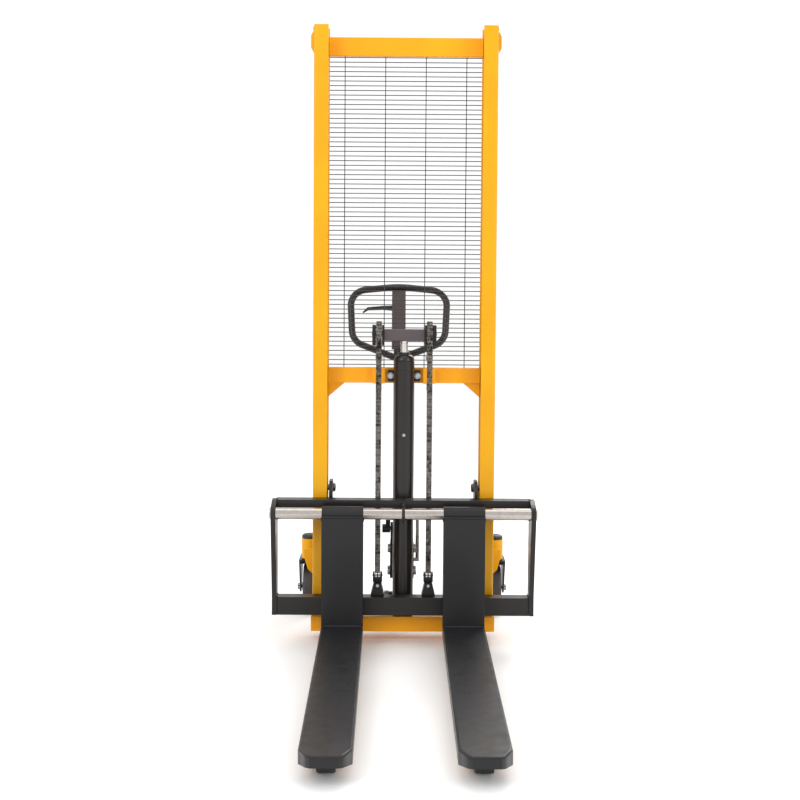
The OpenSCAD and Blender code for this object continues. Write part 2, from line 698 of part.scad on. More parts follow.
module release_rod() color(steel) at_mast() {
    translate([rod_side_x, rod_side_y, 236]) cylinder(r = 6.5, h = 172);
    block(pump_x + 41 + seat_gap, rod_side_x + 6, rod_side_y - 7, rod_side_y + 3, 232, 244);
}

module pump_plunger() color(steel) at_mast()
    translate([handle_x, plunger_y, 268]) cylinder(d = plunger_d, h = pivot_z - cam_drop - cam_r - seat_gap - 268);

module foot_pedal() color(black) at_mast() difference() {
    union() {
        translate([0, pedal_y, pedal_z]) rod_x(17, -74, -38);
        plate_yz([[pedal_y, pedal_z - 8], [pedal_y, pedal_z + 8], [pedal_y + 52, pedal_z + 18],
            [pedal_y + 52, pedal_z + 4]], -64, -48);
        block(-64, 10, pedal_y + 34, pedal_y + 50, pedal_z + 6, pedal_z + 16);
        plate_yz([[pedal_y + 36, pedal_z + 2], [pedal_y + 36, pedal_z + 16], [pedal_y + 170, pedal_z + 58],
            [pedal_y + 170, pedal_z + 42]], -6, 10);
        plate_yz([[pedal_y + 166, pedal_z + 40], [pedal_y + 166, pedal_z + 58], [pedal_y + 250, pedal_z + 66],
            [pedal_y + 250, pedal_z + 56]], -31, 35);
    }
    translate([0, pedal_y, pedal_z]) rod_x(7 + run_fit, -80, -30);
}

// ---- the pieces ----

mast_upright(-1);  // mast_upright_left
mast_upright(1);  // mast_upright_right
mast_top_beam();
mast_mid_beam();
mast_gussets();
base_beam();
base_leg(-1);  // base_leg_left
base_leg(1);  // base_leg_right
front_axles();
caster_arm(-1);  // caster_arm_left
caster_arm(1);  // caster_arm_right
caster_caps();
guard_mesh();
lift_cylinder();
cylinder_gland();
cylinder_clamp();
clamp_bolts();
bleed_screw();
hydraulic_block();
pump_body();
pump_bolts();
handle_pivot_pin();
rear_chain_anchors();
chain_rear();
ram();
crosshead();
sheave_cheeks();
sheave_pins();
chain_wraps();
sheave(-1);  // sheave_left
sheave(1);  // sheave_right
carriage_top_beam();
carriage_lower_beam();
carriage_end_plates();
carriage_side_plates();
fork_shaft();
roller_pins();
front_chain_anchors();
chain_front();
mast_roller(-1, mast_roller_zs[0]);  // mast_roller_lower_left
mast_roller(1, mast_roller_zs[0]);  // mast_roller_lower_right
mast_roller(-1, mast_roller_zs[1]);  // mast_roller_upper_left
mast_roller(1, mast_roller_zs[1]);  // mast_roller_upper_right
fork(-1);  // fork_left
fork(1);  // fork_right
front_roller(-1);  // front_roller_left
front_roller(1);  // front_roller_right
caster_fork(-1);  // caster_fork_left
caster_fork(1);  // caster_fork_right
caster_wheel(-1);  // caster_wheel_left
caster_wheel(1);  // caster_wheel_right
caster_brake(-1);  // caster_brake_left
caster_brake(1);  // caster_brake_right
handle_arm();
handle_loop();
handle_plate();
release_lever();
release_rod();
pump_plunger();
foot_pedal();
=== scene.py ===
"""Manual hydraulic walkie stacker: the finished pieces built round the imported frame.

Sizes in the builders are millimetres from the mast's front face, the middle line and the floor.
"""

import json
import math

import bpy
import numpy as np
from mathutils import Matrix, Vector


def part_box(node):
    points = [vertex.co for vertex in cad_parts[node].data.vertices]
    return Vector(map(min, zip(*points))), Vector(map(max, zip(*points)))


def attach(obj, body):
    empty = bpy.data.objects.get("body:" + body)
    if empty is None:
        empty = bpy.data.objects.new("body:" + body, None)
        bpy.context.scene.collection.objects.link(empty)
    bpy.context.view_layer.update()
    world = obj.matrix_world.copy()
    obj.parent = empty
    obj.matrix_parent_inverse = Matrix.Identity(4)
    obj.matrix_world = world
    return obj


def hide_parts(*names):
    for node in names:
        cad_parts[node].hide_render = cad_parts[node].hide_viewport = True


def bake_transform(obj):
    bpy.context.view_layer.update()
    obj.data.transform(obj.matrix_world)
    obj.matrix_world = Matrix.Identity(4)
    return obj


bl_info = {
    "name": "Walkie stacker",
    "version": (1, 0, 0),
    "blender": (4, 5, 0),
    "location": "3D View > Sidebar > Stacker",
    "description": "Builds the pieces, finishes and studio of a manual hydraulic stacker",
    "category": "Add Mesh",
}

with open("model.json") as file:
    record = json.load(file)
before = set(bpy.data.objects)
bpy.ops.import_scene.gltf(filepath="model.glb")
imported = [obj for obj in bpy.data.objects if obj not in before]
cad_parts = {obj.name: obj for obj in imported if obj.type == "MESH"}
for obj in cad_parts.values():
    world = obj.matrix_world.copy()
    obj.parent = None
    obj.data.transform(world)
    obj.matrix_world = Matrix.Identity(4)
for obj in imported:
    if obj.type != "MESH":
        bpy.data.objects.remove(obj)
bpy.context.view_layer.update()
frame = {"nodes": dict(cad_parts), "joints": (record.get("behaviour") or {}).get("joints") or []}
MM = 0.001
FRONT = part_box("mast_upright_right")[0].y  # the mast's front face, in the frame's metres
SIDES = {"left": -1, "right": 1}


def node_box(node):
    """A CAD node's lowest and highest corners in millimetres from the mast's front face."""
    shift = Vector((0, FRONT, 0))
    return tuple((corner - shift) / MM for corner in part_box(node))


# ---- sizes and colours that a user would change ----


def linear(colour):
    """An sRGB hex colour as linear red, green, blue and alpha."""
    parts = [int(colour[i : i + 2], 16) / 255 for i in (1, 3, 5)]
    return (*((c / 12.92 if c <= 0.04045 else ((c + 0.055) / 1.055) ** 2.4) for c in parts), 1.0)


def colour_property(name, description, default):
    return bpy.props.FloatVectorProperty(
        name=name, description=description, subtype="COLOR", size=4, min=0, max=1, default=linear(default)
    )


def size_property(name, description, default):
    return bpy.props.FloatProperty(name=name, description=description, default=default, min=0.05, max=40)


class StackerSizes(bpy.types.PropertyGroup):
    edge_plate: size_property("Plate edge", "Rounding of cut plate edges, in millimetres", 1.2)
    edge_section: size_property("Section edge", "Rounding of rolled section edges, in millimetres", 2.6)
    edge_fork: size_property("Fork edge", "Rounding of a fork's pressed upper edges, in millimetres", 7.0)
    edge_small: size_property("Fitting edge", "Chamfer of nuts, pins and small fittings, in millimetres", 0.7)
    weld_radius: size_property("Weld bead", "Radius of a weld bead, in millimetres", 3.2)
    weld_pitch: size_property("Weld ripple", "Spacing of the ripples along a weld, in millimetres", 3.4)
    chain_pitch: size_property("Chain pitch", "Distance between two chain pins, in millimetres", 12.7)


class StackerColours(bpy.types.PropertyGroup):
    mast: colour_property("Mast", "Enamel of the mast", "#dc9f00")
    # painted shade: the base colour is a more orange yellow than the mast, for the shade on the base and cross beams
    base: colour_property("Base", "Enamel of the base and cross beams", "#f0a200")
    black: colour_property("Black", "Enamel of the carriage and pump", "#171413")
    fork: colour_property("Forks", "Enamel of the forks", "#1c1c1e")
    plum: colour_property("Crosshead", "Enamel of the crosshead and handle plate", "#4c4142")
    zinc: colour_property("Zinc", "Galvanised wire and fasteners", "#4a4846")
    tyre: colour_property("Tyre", "Polyurethane of the wheels", "#2f2f31")


class StackerPiece:
    """What every operator here shares."""

    bl_options = {"REGISTER", "UNDO"}


def sizes():
    return bpy.context.scene.stacker_sizes


# ---- modelling helpers ----


def only(obj=None):
    """Leaves obj, or nothing, selected in Object Mode."""
    if bpy.context.mode != "OBJECT":
        bpy.ops.object.mode_set(mode="OBJECT")
    bpy.ops.object.select_all(action="DESELECT")
    if obj:
        obj.select_set(True)
        bpy.context.view_layer.objects.active = obj


def edit_all(obj, kind="FACE"):
    """Opens obj's mesh in Edit Mode with all of it selected."""
    only(obj)
    bpy.ops.object.mode_set(mode="EDIT")
    bpy.ops.mesh.select_mode(type=kind)
    bpy.ops.mesh.select_all(action="SELECT")


def settle(obj):
    """Puts an object's place, turn and scale into its mesh."""
    only(obj)
    bpy.ops.object.transform_apply(location=True, rotation=True, scale=True)
    return obj


def finish_with(obj, kind, **settings):
    """Adds one modifier with its settings and applies it."""
    only(obj)
    modifier = obj.modifiers.new(kind.title(), kind)
    for name, value in settings.items():
        setattr(modifier, name, value)
    bpy.ops.object.modifier_apply(modifier=modifier.name)


def outward(obj):
    """Merges doubles, drops what has no area and turns the faces outwards."""
    edit_all(obj)
    bpy.ops.mesh.remove_doubles(threshold=0.00002)
    bpy.ops.mesh.dissolve_degenerate(threshold=0.00001)
    bpy.ops.mesh.delete_loose(use_verts=True, use_edges=True, use_faces=False)
    bpy.ops.mesh.select_all(action="SELECT")
    bpy.ops.mesh.normals_make_consistent(inside=False)
    only(obj)
    return obj


def smooth(obj, angle=38):
    """Shades obj smooth except across its sharp edges, and keeps its flats flat."""
    only(obj)
    bpy.ops.object.shade_smooth_by_angle(angle=math.radians(angle))
    finish_with(obj, "WEIGHTED_NORMAL", keep_sharp=True)
    return obj


def round_edges(obj, width, segments=2, angle=30):
    """Rounds every edge sharper than angle."""
    if width > 0:
        finish_with(
            obj,
            "BEVEL",
            width=width * MM,
            segments=segments,
            limit_method="ANGLE",
            angle_limit=math.radians(angle),
            miter_outer="MITER_ARC",
        )


def round_chosen(obj, chosen, width, segments):
    """Rounds the edges whose two ends, in millimetres from the mast's front, pass chosen."""
    edit_all(obj, "EDGE")
    bpy.ops.mesh.select_all(action="DESELECT")
    only(obj)
    shift = Vector((0, FRONT, 0))
    corners = [(v.co - shift) / MM for v in obj.data.vertices]
    for edge in obj.data.edges:
        edge.select = chosen(corners[edge.vertices[0]], corners[edge.vertices[1]])
    bpy.ops.object.mode_set(mode="EDIT")
    bpy.ops.mesh.bevel(offset=width * MM, segments=segments, affect="EDGES", clamp_overlap=True)
    only(obj)


def rounded_copy(node, name, width, segments=2, angle=30, first=None):
    """A copy of a CAD node's mesh, merged to clean faces, with its edges rounded."""
    obj = bpy.data.objects.new(name, frame["nodes"][node].data.copy())
    bpy.context.scene.collection.objects.link(obj)
    edit_all(obj)
    bpy.ops.mesh.remove_doubles(threshold=0.00001)
    bpy.ops.mesh.dissolve_limited(angle_limit=math.radians(0.3))
    only(obj)
    if first:
        first(obj)
    round_edges(obj, width, segments, angle)
    return smooth(obj)


def block(name, low, high, edge, segments=2):
    """A cut block between two corners with its edges rounded."""
    low, high = Vector(low), Vector(high)
    only()
    bpy.ops.mesh.primitive_cube_add(size=1, location=(low + high) / 2 * MM + Vector((0, FRONT, 0)))
    obj = bpy.context.active_object
    obj.name = obj.data.name = name
    obj.scale = (high - low) * MM
    settle(obj)
    edit_all(obj)
    bpy.ops.mesh.bevel(offset=edge * MM, segments=segments, affect="EDGES")
    return smooth(obj)


def plate(name, outline, axis, start, end, edge, segments=2):
    """An outline drawn across axis, filled, pulled from start to end along it, with rounded edges."""
    only()
    bpy.ops.mesh.primitive_circle_add(vertices=len(outline), fill_type="NGON")
    obj = bpy.context.active_object
    obj.name = obj.data.name = name
    along = "XYZ".index(axis)
    across = [i for i in range(3) if i != along]
    for corner, point in zip(obj.data.vertices, outline):
        place = [0.0, 0.0, 0.0]
        place[along], place[across[0]], place[across[1]] = start, point[0], point[1]
        corner.co = Vector(place) * MM + Vector((0, FRONT, 0))
    pull = Vector((0, 0, 0))
    pull[along] = (end - start) * MM
    edit_all(obj)
    bpy.ops.mesh.extrude_region_move(TRANSFORM_OT_translate={"value": pull})
    outward(obj)
    round_edges(obj, edge, segments)
    return smooth(obj)


def lathe(name, profile, centre, axis="Z", steps=48, turned=None, angle=38):
    """A turned piece: corners laid on the closed profile (radius, length) are spun round the axis."""
    only()
    bpy.ops.mesh.primitive_circle_add(vertices=len(profile), fill_type="NOTHING")
    obj = bpy.context.active_object
    obj.name = obj.data.name = name
    for corner, (radius, length) in zip(obj.data.vertices, profile):
        corner.co = (radius * MM, 0, length * MM)
    edit_all(obj, "VERT")
    bpy.ops.mesh.spin(steps=steps, angle=math.tau, center=(0, 0, 0), axis=(0, 0, 1))
    outward(obj)
    turn = turned or {"X": (0, math.pi / 2, 0), "Y": (-math.pi / 2, 0, 0), "Z": (0, 0, 0)}[axis]
    obj.rotation_euler = turn
    obj.location = Vector(centre) * MM + Vector((0, FRONT, 0))
    return smooth(settle(obj), angle)


def rounded_bar(radius, start, end, edge):
    """The profile of a solid turned bar with chamfered ends."""
    return [
        (0, start), (radius - edge, start), (radius - edge * 0.3, start + edge * 0.3), (radius, start + edge),
        (radius, end - edge), (radius - edge * 0.3, end - edge * 0.3), (radius - edge, end), (0, end),
    ]


def ring(inner, outer, start, end, edge):
    """The profile of a turned ring with rounded outer corners."""
    return [
        (inner, start), (outer - edge, start), (outer - edge * 0.3, start + edge * 0.3), (outer, start + edge),
        (outer, end - edge), (outer - edge * 0.3, end - edge * 0.3), (outer - edge, end), (inner, end),
    ]


def tube(name, points, radius, closed=False, sides=6):
    """A round bar swept along points, with filled ends."""
    only()
    bpy.ops.curve.primitive_nurbs_path_add()
    obj = bpy.context.active_object
    obj.name = name
    obj.location = (0, 0, 0)
    curve = obj.data
    curve.splines.clear()
    spline = curve.splines.new("POLY")
    spline.points.add(len(points) - 1)
    for point, place in zip(spline.points, points):
        point.co = (*(Vector(place) * MM + Vector((0, FRONT, 0))), 1)
    spline.use_cyclic_u = closed
    spline.use_smooth = True
    curve.dimensions = "3D"
    curve.bevel_depth = radius * MM
    curve.bevel_resolution = sides
    curve.use_fill_caps = not closed
    bpy.ops.object.convert(target="MESH")
    obj = bpy.context.active_object
    obj.data.name = name
    return smooth(outward(obj), 50)


def weld(start, end, radius=None):
    """A weld bead from start to end, its ripples as long as the torch's steps."""
    radius = radius or sizes().weld_radius
    start, end = Vector(start), Vector(end)
    length = (end - start).length
    count = max(2, round(length / sizes().weld_pitch))
    profile = [(0, 0)]
    for i in range(count):
        for part, share in ((0.12, 0.82), (0.5, 1.0)):
            profile.append((radius * share, length * (i + part) / count))
    profile += [(radius * 0.8, length * (1 - 0.05 / count)), (0, length)]
    along = (end - start).normalized()
    turn = Vector((0, 0, 1)).rotation_difference(along).to_euler()
    return lathe("bead", profile, start, steps=10, turned=turn, angle=70)


def join(name, objects):
    """Joins several meshes into one piece."""
    only(objects[0])
    for obj in objects:
        obj.select_set(True)
    bpy.ops.object.join()
    objects[0].name = objects[0].data.name = name
    return objects[0]


def turned_copy(obj, axis, centre, degrees):
    """A copy of obj, with its own mesh, turned about a line along axis through centre."""
    middle = Vector(centre) * MM + Vector((0, FRONT, 0))
    twin = bpy.data.objects.new("copy", obj.data.copy())
    bpy.context.scene.collection.objects.link(twin)
    twin.matrix_world = (
        Matrix.Translation(middle) @ Matrix.Rotation(math.radians(degrees), 4, axis) @ Matrix.Translation(-middle)
    )
    return settle(twin)


def mirrored(obj, name):
    """A copy of obj for the other side of the middle line."""
    twin = bpy.data.objects.new(name, obj.data.copy())
    bpy.context.scene.collection.objects.link(twin)
    twin.scale.x = -1
    settle(twin)
    return smooth(outward(twin))


def hex_head(name, flats, centre, axis, start, end):
    """A hexagon head or nut with the turned chamfer that takes its corners off."""
    only()
    corner = flats / math.sqrt(3) * MM
    bpy.ops.mesh.primitive_cylinder_add(vertices=6, radius=corner, depth=(end - start) * MM)
    obj = bpy.context.active_object
    obj.name = obj.data.name = name
    edit_all(obj)
    bpy.ops.mesh.bevel(offset=0.09 * flats * MM, segments=2, affect="EDGES")
    only(obj)
    obj.rotation_euler = {"X": (0, math.pi / 2, 0), "Y": (-math.pi / 2, 0, 0), "Z": (0, 0, 0)}[axis]
    place = Vector(centre)
    place["XYZ".index(axis)] += (start + end) / 2
    obj.location = place * MM + Vector((0, FRONT, 0))
    return smooth(settle(obj), 45)


def fit(obj, body, slot, material, *nodes):
    """Gives a finished piece its material and body, and hides the CAD nodes it stands for; the slot argument is not
    used.
    """
    obj.data.materials.clear()
    obj.data.materials.append(materials[material])
    for face in obj.data.polygons:
        face.material_index = 0
    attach(obj, body)
    if nodes:
        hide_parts(*nodes)
    return obj


# ---- materials ----

materials = {}


def add_node(tree, kind, links=None, values=None, **settings):
    """Adds one shader node with its settings, socket values and incoming links."""
    node = tree.nodes.new("ShaderNode" + kind)
    for name, value in settings.items():
        setattr(node, name, value)
    for name, value in (values or {}).items():
        node.inputs[name].default_value = value
    for name, source in (links or {}).items():
        tree.links.new(source, node.inputs[name])
    return node


def start_material(name, colour, **shader):
    """A new material with its shader's constants, and the Object coordinates its patterns read."""
    material = bpy.data.materials.new(name)
    material.use_nodes = True
    material.diffuse_color = colour
    tree = material.node_tree
    tree.nodes.clear()
    principled = add_node(tree, "BsdfPrincipled", values={"Base Color": colour, **shader})
    add_node(tree, "OutputMaterial", {"Surface": principled.outputs["BSDF"]})
    coords = add_node(tree, "TexCoord").outputs["Object"]
    materials[name] = material
    return tree, principled, coords


def per_metre(millimetres):
    """A noise scale whose cells are this many millimetres across."""
    return 1000.0 / millimetres


def noise(tree, coords, size, detail=3.0, stretch=None, roughness=0.5):
    """The grey value of a noise whose grain is size millimetres, stretched along the axes if asked."""
    if stretch:
        coords = add_node(tree, "Mapping", {"Vector": coords}, {"Scale": stretch}).outputs["Vector"]
    values = {"Scale": per_metre(size), "Detail": detail, "Roughness": roughness}
    return add_node(tree, "TexNoise", {"Vector": coords}, values).outputs["Fac"]


def between(tree, value, low, high, start, end):
    """Carries value from the range low-high to the range start-end."""
    values = {"From Min": low, "From Max": high, "To Min": start, "To Max": end}
    return add_node(tree, "MapRange", {"Value": value}, values).outputs["Result"]


def blend_colours(tree, mask, first, second):
    """Mixes two colours, each a colour or a socket, by mask."""
    node = add_node(tree, "Mix", data_type="RGBA")
    tree.links.new(mask, node.inputs["Factor"])
    for slot, colour in ((6, first), (7, second)):
        if isinstance(colour, bpy.types.NodeSocket):
            tree.links.new(colour, node.inputs[slot])
        else:
            node.inputs[slot].default_value = colour
    return node.outputs[2]


def bump(tree, height, depth, strength=1.0, under=None):
    """Raises the surface by height, depth millimetres in all, over what is already raised."""
    links = {"Height": height}
    if under:
        links["Normal"] = under
    values = {"Strength": strength, "Distance": depth * MM}
    return add_node(tree, "Bump", links, values).outputs["Normal"]


def shade(colour, factor):
    """A darker or lighter tone of a linear colour."""
    return (*(min(1.0, c * factor) for c in colour[:3]), 1.0)


def paint(name, colour, tint, gloss, peel, scuffs, coat=0.35, grain=2.2, gleam=0.5):
    """Sprayed enamel on steel: orange peel, a drift of tone, dust in the gloss and a few rubbed scuffs."""
    shader = {"Roughness": gloss, "Coat Weight": coat, "Coat Roughness": 0.12, "IOR": 1.5,
              "Specular IOR Level": gleam}
    tree, principled, coords = start_material(name, colour, **shader)
    drift = between(tree, noise(tree, coords, 170, 2), 0.35, 0.65, 0, 1)
    tone = blend_colours(tree, drift, colour, tint)
    rub = noise(tree, coords, 26, 6, (1.0, 0.14, 1.0), 0.72)
    mask = between(tree, rub, 0.66, 0.70, 0, scuffs)
    tone = blend_colours(tree, mask, tone, shade(tint, 0.62))
    tree.links.new(tone, principled.inputs["Base Color"])
    haze = between(tree, noise(tree, coords, 38, 4), 0.3, 0.7, gloss - 0.05, gloss + 0.09)
    tree.links.new(haze, principled.inputs["Roughness"])
    skin = noise(tree, coords, grain, 1.5)
    dust = noise(tree, coords, 0.9, 1)
    normal = bump(tree, skin, peel)
    tree.links.new(bump(tree, dust, peel * 0.25, 0.6, normal), principled.inputs["Normal"])
    return tree, principled, coords


def metal(name, colour, rough, grain, stretch, depth, stain=None, spread=0.08):
    """Bare or plated steel: grain or grinding lines along the surface, with a slight stain."""
    tree, principled, coords = start_material(name, colour, Metallic=1.0, Roughness=rough)
    lines = noise(tree, coords, grain, 4, stretch, 0.6)
    shine = between(tree, lines, 0.3, 0.7, rough - spread, rough + spread)
    tree.links.new(shine, principled.inputs["Roughness"])
    mottle = between(tree, noise(tree, coords, 14, 3), 0.4, 0.66, 0, 1)
    tone = blend_colours(tree, mottle, colour, stain or shade(colour, 0.8))
    tree.links.new(tone, principled.inputs["Base Color"])
    tree.links.new(bump(tree, lines, depth), principled.inputs["Normal"])
    return tree, principled, coords


def moulded(name, colour, rough, grain, depth, scuffed):
    """Moulded polymer: a fine skin texture and paler scuffs where it rubs or rolls."""
    tree, principled, coords = start_material(name, colour, Roughness=rough, IOR=1.49)
    mask = between(tree, noise(tree, coords, 9, 5, None, 0.7), 0.52, 0.7, 0, 0.55)
    tree.links.new(blend_colours(tree, mask, colour, scuffed), principled.inputs["Base Color"])
    tree.links.new(between(tree, mask, 0, 0.55, rough, rough + 0.12), principled.inputs["Roughness"])
    tree.links.new(bump(tree, noise(tree, coords, grain, 2), depth), principled.inputs["Normal"])
    return tree, principled, coords


class StackerMaterials(StackerPiece, bpy.types.Operator):
    """Makes every finish of the stacker"""

    bl_idname = "stacker.materials"
    bl_label = "Finishes"

    def execute(self, context):
        colours = context.scene.stacker_colours
        mast, base = tuple(colours.mast), tuple(colours.base)
        # glossy stoving enamel on rolled channel: clear highlights with a faint orange peel
        paint("stoved_enamel_mast_yellow", mast, linear("#d89800"), 0.34, 0.035, 0.1, 0.08, gleam=0.25)
        # the same enamel, a little deeper and more orange on the base and cross beams: painted shade for the shade
        # and bounced yellow light they sit in
        paint("stoved_enamel_yellow_painted_shade", base, linear("#e89a00"), 0.36, 0.04, 0.15, 0.08, gleam=0.25)
        # semi-gloss black enamel on flame-cut plate: broad soft highlights
        black = tuple(colours.black)
        paint("sprayed_enamel_carriage_black", black, linear("#1d1b1a"), 0.4, 0.05, 0.25, 0.2, gleam=0.25)
        # textured black enamel on pressed fork steel, lightly rubbed by pallets
        fork = tuple(colours.fork)
        paint("textured_enamel_fork_black", fork, linear("#1e1e20"), 0.42, 0.07, 0.05, 0.12, 1.5, gleam=0.25)
        # plum-grey enamel, matt, on machined plate
        plum = tuple(colours.plum)
        paint("matt_enamel_plum_grey", plum, linear("#443a3b"), 0.46, 0.04, 0.2, 0.1)
        # black enamel over sand-cast iron: the sand's grain shows through the paint
        paint("enamelled_cast_iron_black", black, linear("#1f1d1b"), 0.45, 0.22, 0.25, 0.1, 1.7, gleam=0.25)
        # black enamel on seamless cylinder tube, brown where it thins over the primer
        paint("enamelled_tube_black", linear("#171211"), linear("#1d1715"), 0.34, 0.03, 0.15, 0.3, gleam=0.3)
        # hard chrome plating, ground and polished: a mirror with faint lines
        metal("hard_chrome_ground", linear("#e4e2df"), 0.13, 0.8, (1, 1, 18), 0.002, linear("#d3cdc7"), 0.05)
        metal("hard_chrome_shaft", linear("#b9b2ac"), 0.16, 0.8, (18, 1, 1), 0.002, linear("#b1aaa4"), 0.04)
        # bright zinc plating on fasteners
        metal("zinc_plated_steel", linear("#b9bcc0"), 0.32, 0.7, (1, 1, 1), 0.01, linear("#98989a"))
        # drawn wire, hot-dip galvanised: dull grey with a soft spangle
        tree, principled, coords = metal(
            "galvanised_drawn_wire", tuple(colours.zinc), 0.42, 1.2, (0.15, 1, 1), 0.012, linear("#403e3d")
        )
        principled.inputs["Metallic"].default_value = 0.7
        # oiled leaf chain: dark steel mottled at random with brighter patches
        metal("oiled_chain_steel", linear("#7a736e"), 0.3, 0.9, (1, 1, 1), 0.02, linear("#2e2a27"), 0.12)
        # turned bearing steel, faint rings from the tool
        metal("turned_bearing_steel", linear("#8b8681"), 0.28, 0.6, (9, 1, 1), 0.006, linear("#6c665f"))
        # cast polyurethane tread on the wheels, paler where it has rolled
        moulded("cast_polyurethane_tread", tuple(colours.tyre), 0.5, 0.9, 0.02, linear("#474649"))
        # glass-filled nylon wheel centres and load rollers
        moulded("moulded_nylon_grey", linear("#4b4744"), 0.42, 1.4, 0.025, linear("#5c5853"))
        # moulded ABS caps and grip pads, spark-eroded grain
        moulded("moulded_abs_black", linear("#1d1d1f"), 0.38, 0.7, 0.02, linear("#29292b"))
        # ribbed rubber pads, matt with a grey bloom
        moulded("moulded_rubber_black", linear("#1b1b1b"), 0.68, 1.0, 0.04, linear("#2c2b2a"))
        return {"FINISHED"}


# ---- mast ----


class StackerMast(StackerPiece, bpy.types.Operator):
    """Builds the two uprights, the cross beams, gussets, lug screws and weld beads"""

    bl_idname = "stacker.mast"
    bl_label = "Mast"

    def execute(self, context):
        size = sizes()
        yellow, finish = "yellow_paint", "stoved_enamel_mast_yellow"
        for side in SIDES:
            upright = rounded_copy(f"mast_upright_{side}", f"upright_{side}", size.edge_plate, 2, 40)
            fit(upright, "chassis", yellow, finish, f"mast_upright_{side}")
        # the cross beams, gussets and weld beads take the more orange enamel, which is painted shade
        for node in ("mast_top_beam", "mast_mid_beam"):
            beam = rounded_copy(node, node + "_finished", size.edge_section, 3)
            fit(beam, "chassis", yellow, "stoved_enamel_yellow_painted_shade", node)
        gussets = rounded_copy("mast_gussets", "corner_gussets", size.edge_plate)
        fit(gussets, "chassis", yellow, "stoved_enamel_yellow_painted_shade", "mast_gussets")

        low, high = node_box("mast_upright_right")
        throat = node_box("mast_top_beam")[1].x
        beads = []
        for node in ("mast_top_beam", "mast_mid_beam"):
            foot, head = node_box(node)
            front = node_box("mast_top_beam")[0].y
            beads.append(weld((throat, front, foot.z), (throat, front, head.z)))
            beads.append(weld((throat, head.y, foot.z), (throat, head.y, head.z), 2.4))
        foot = node_box("mast_gussets")[0].z
        gusset_y = node_box("mast_gussets")[0].y
        beads.append(weld((throat, gusset_y, foot + 3), (throat, gusset_y, foot + 44), 2.4))
        base_top = node_box("base_beam")[1].z
        edge = low.x + 41 + 8
        beads.append(weld((throat + 2, 0.4, base_top), (edge - 3, 0.4, base_top)))
        beads.append(weld((edge, 8, base_top), (edge, 92, base_top)))
        lug = edge
        beads.append(weld((lug, 22, high.z - 90), (lug, 22, high.z - 18), 2.2))
        beads += [mirrored(bead, "bead") for bead in beads]
        fit(join("mast_weld_beads", beads), "chassis", yellow, "stoved_enamel_yellow_painted_shade")

        # the screw above each side lug, with its washer
        screw = lathe(
            "screw", ring(0, 6.5, 0, 4.5, 2.0), (edge - 0.6, 44, high.z - 8), "X", 20
        )
        washer = lathe("washer", ring(3, 8.5, 0, 1.6, 0.4), (edge - 0.4, 44, high.z - 8.6), "X", 24)
        pair = [screw, washer]
        pair += [mirrored(part, "part") for part in pair]
        fit(join("mast_lug_screws", pair), "chassis", "bright_steel", "oiled_chain_steel")
        return {"FINISHED"}


class StackerGuard(StackerPiece, bpy.types.Operator):
    """Builds the welded wire guard with its spot welds"""

    bl_idname = "stacker.guard"
    bl_label = "Guard mesh"

    def execute(self, context):
        wires = rounded_copy("guard_mesh", "guard_wires", 0)
        fit(wires, "chassis", "zinc", "galvanised_drawn_wire", "guard_mesh")
        low, high = node_box("guard_mesh")
        top = node_box("mast_top_beam")[0].z
        foot = node_box("mast_mid_beam")[1].z

        # one spot weld, repeated up each upright wire
        only()
        bpy.ops.mesh.primitive_ico_sphere_add(subdivisions=1, radius=2.0 * MM)
        spot = bpy.context.active_object
        spot.name = "spot_weld"
        count = 1 + int((top - foot - 9) / 15.85)
        spot.location = (-1.5 * 138 * MM, FRONT + (low.y + high.y) / 2 * MM, (foot + 9) * MM)
        settle(spot)
        up = Vector((0, 0, 15.85 * MM))
        finish_with(spot, "ARRAY", use_relative_offset=False, use_constant_offset=True,
                    constant_offset_displace=up, count=count)
        across = Vector((138 * MM, 0, 0))
        finish_with(spot, "ARRAY", use_relative_offset=False, use_constant_offset=True,
                    constant_offset_displace=across, count=4)
        fit(smooth(spot, 80), "chassis", "zinc", "galvanised_drawn_wire").name = "guard_spot_welds"
        return {"FINISHED"}


# ---- base and wheels ----


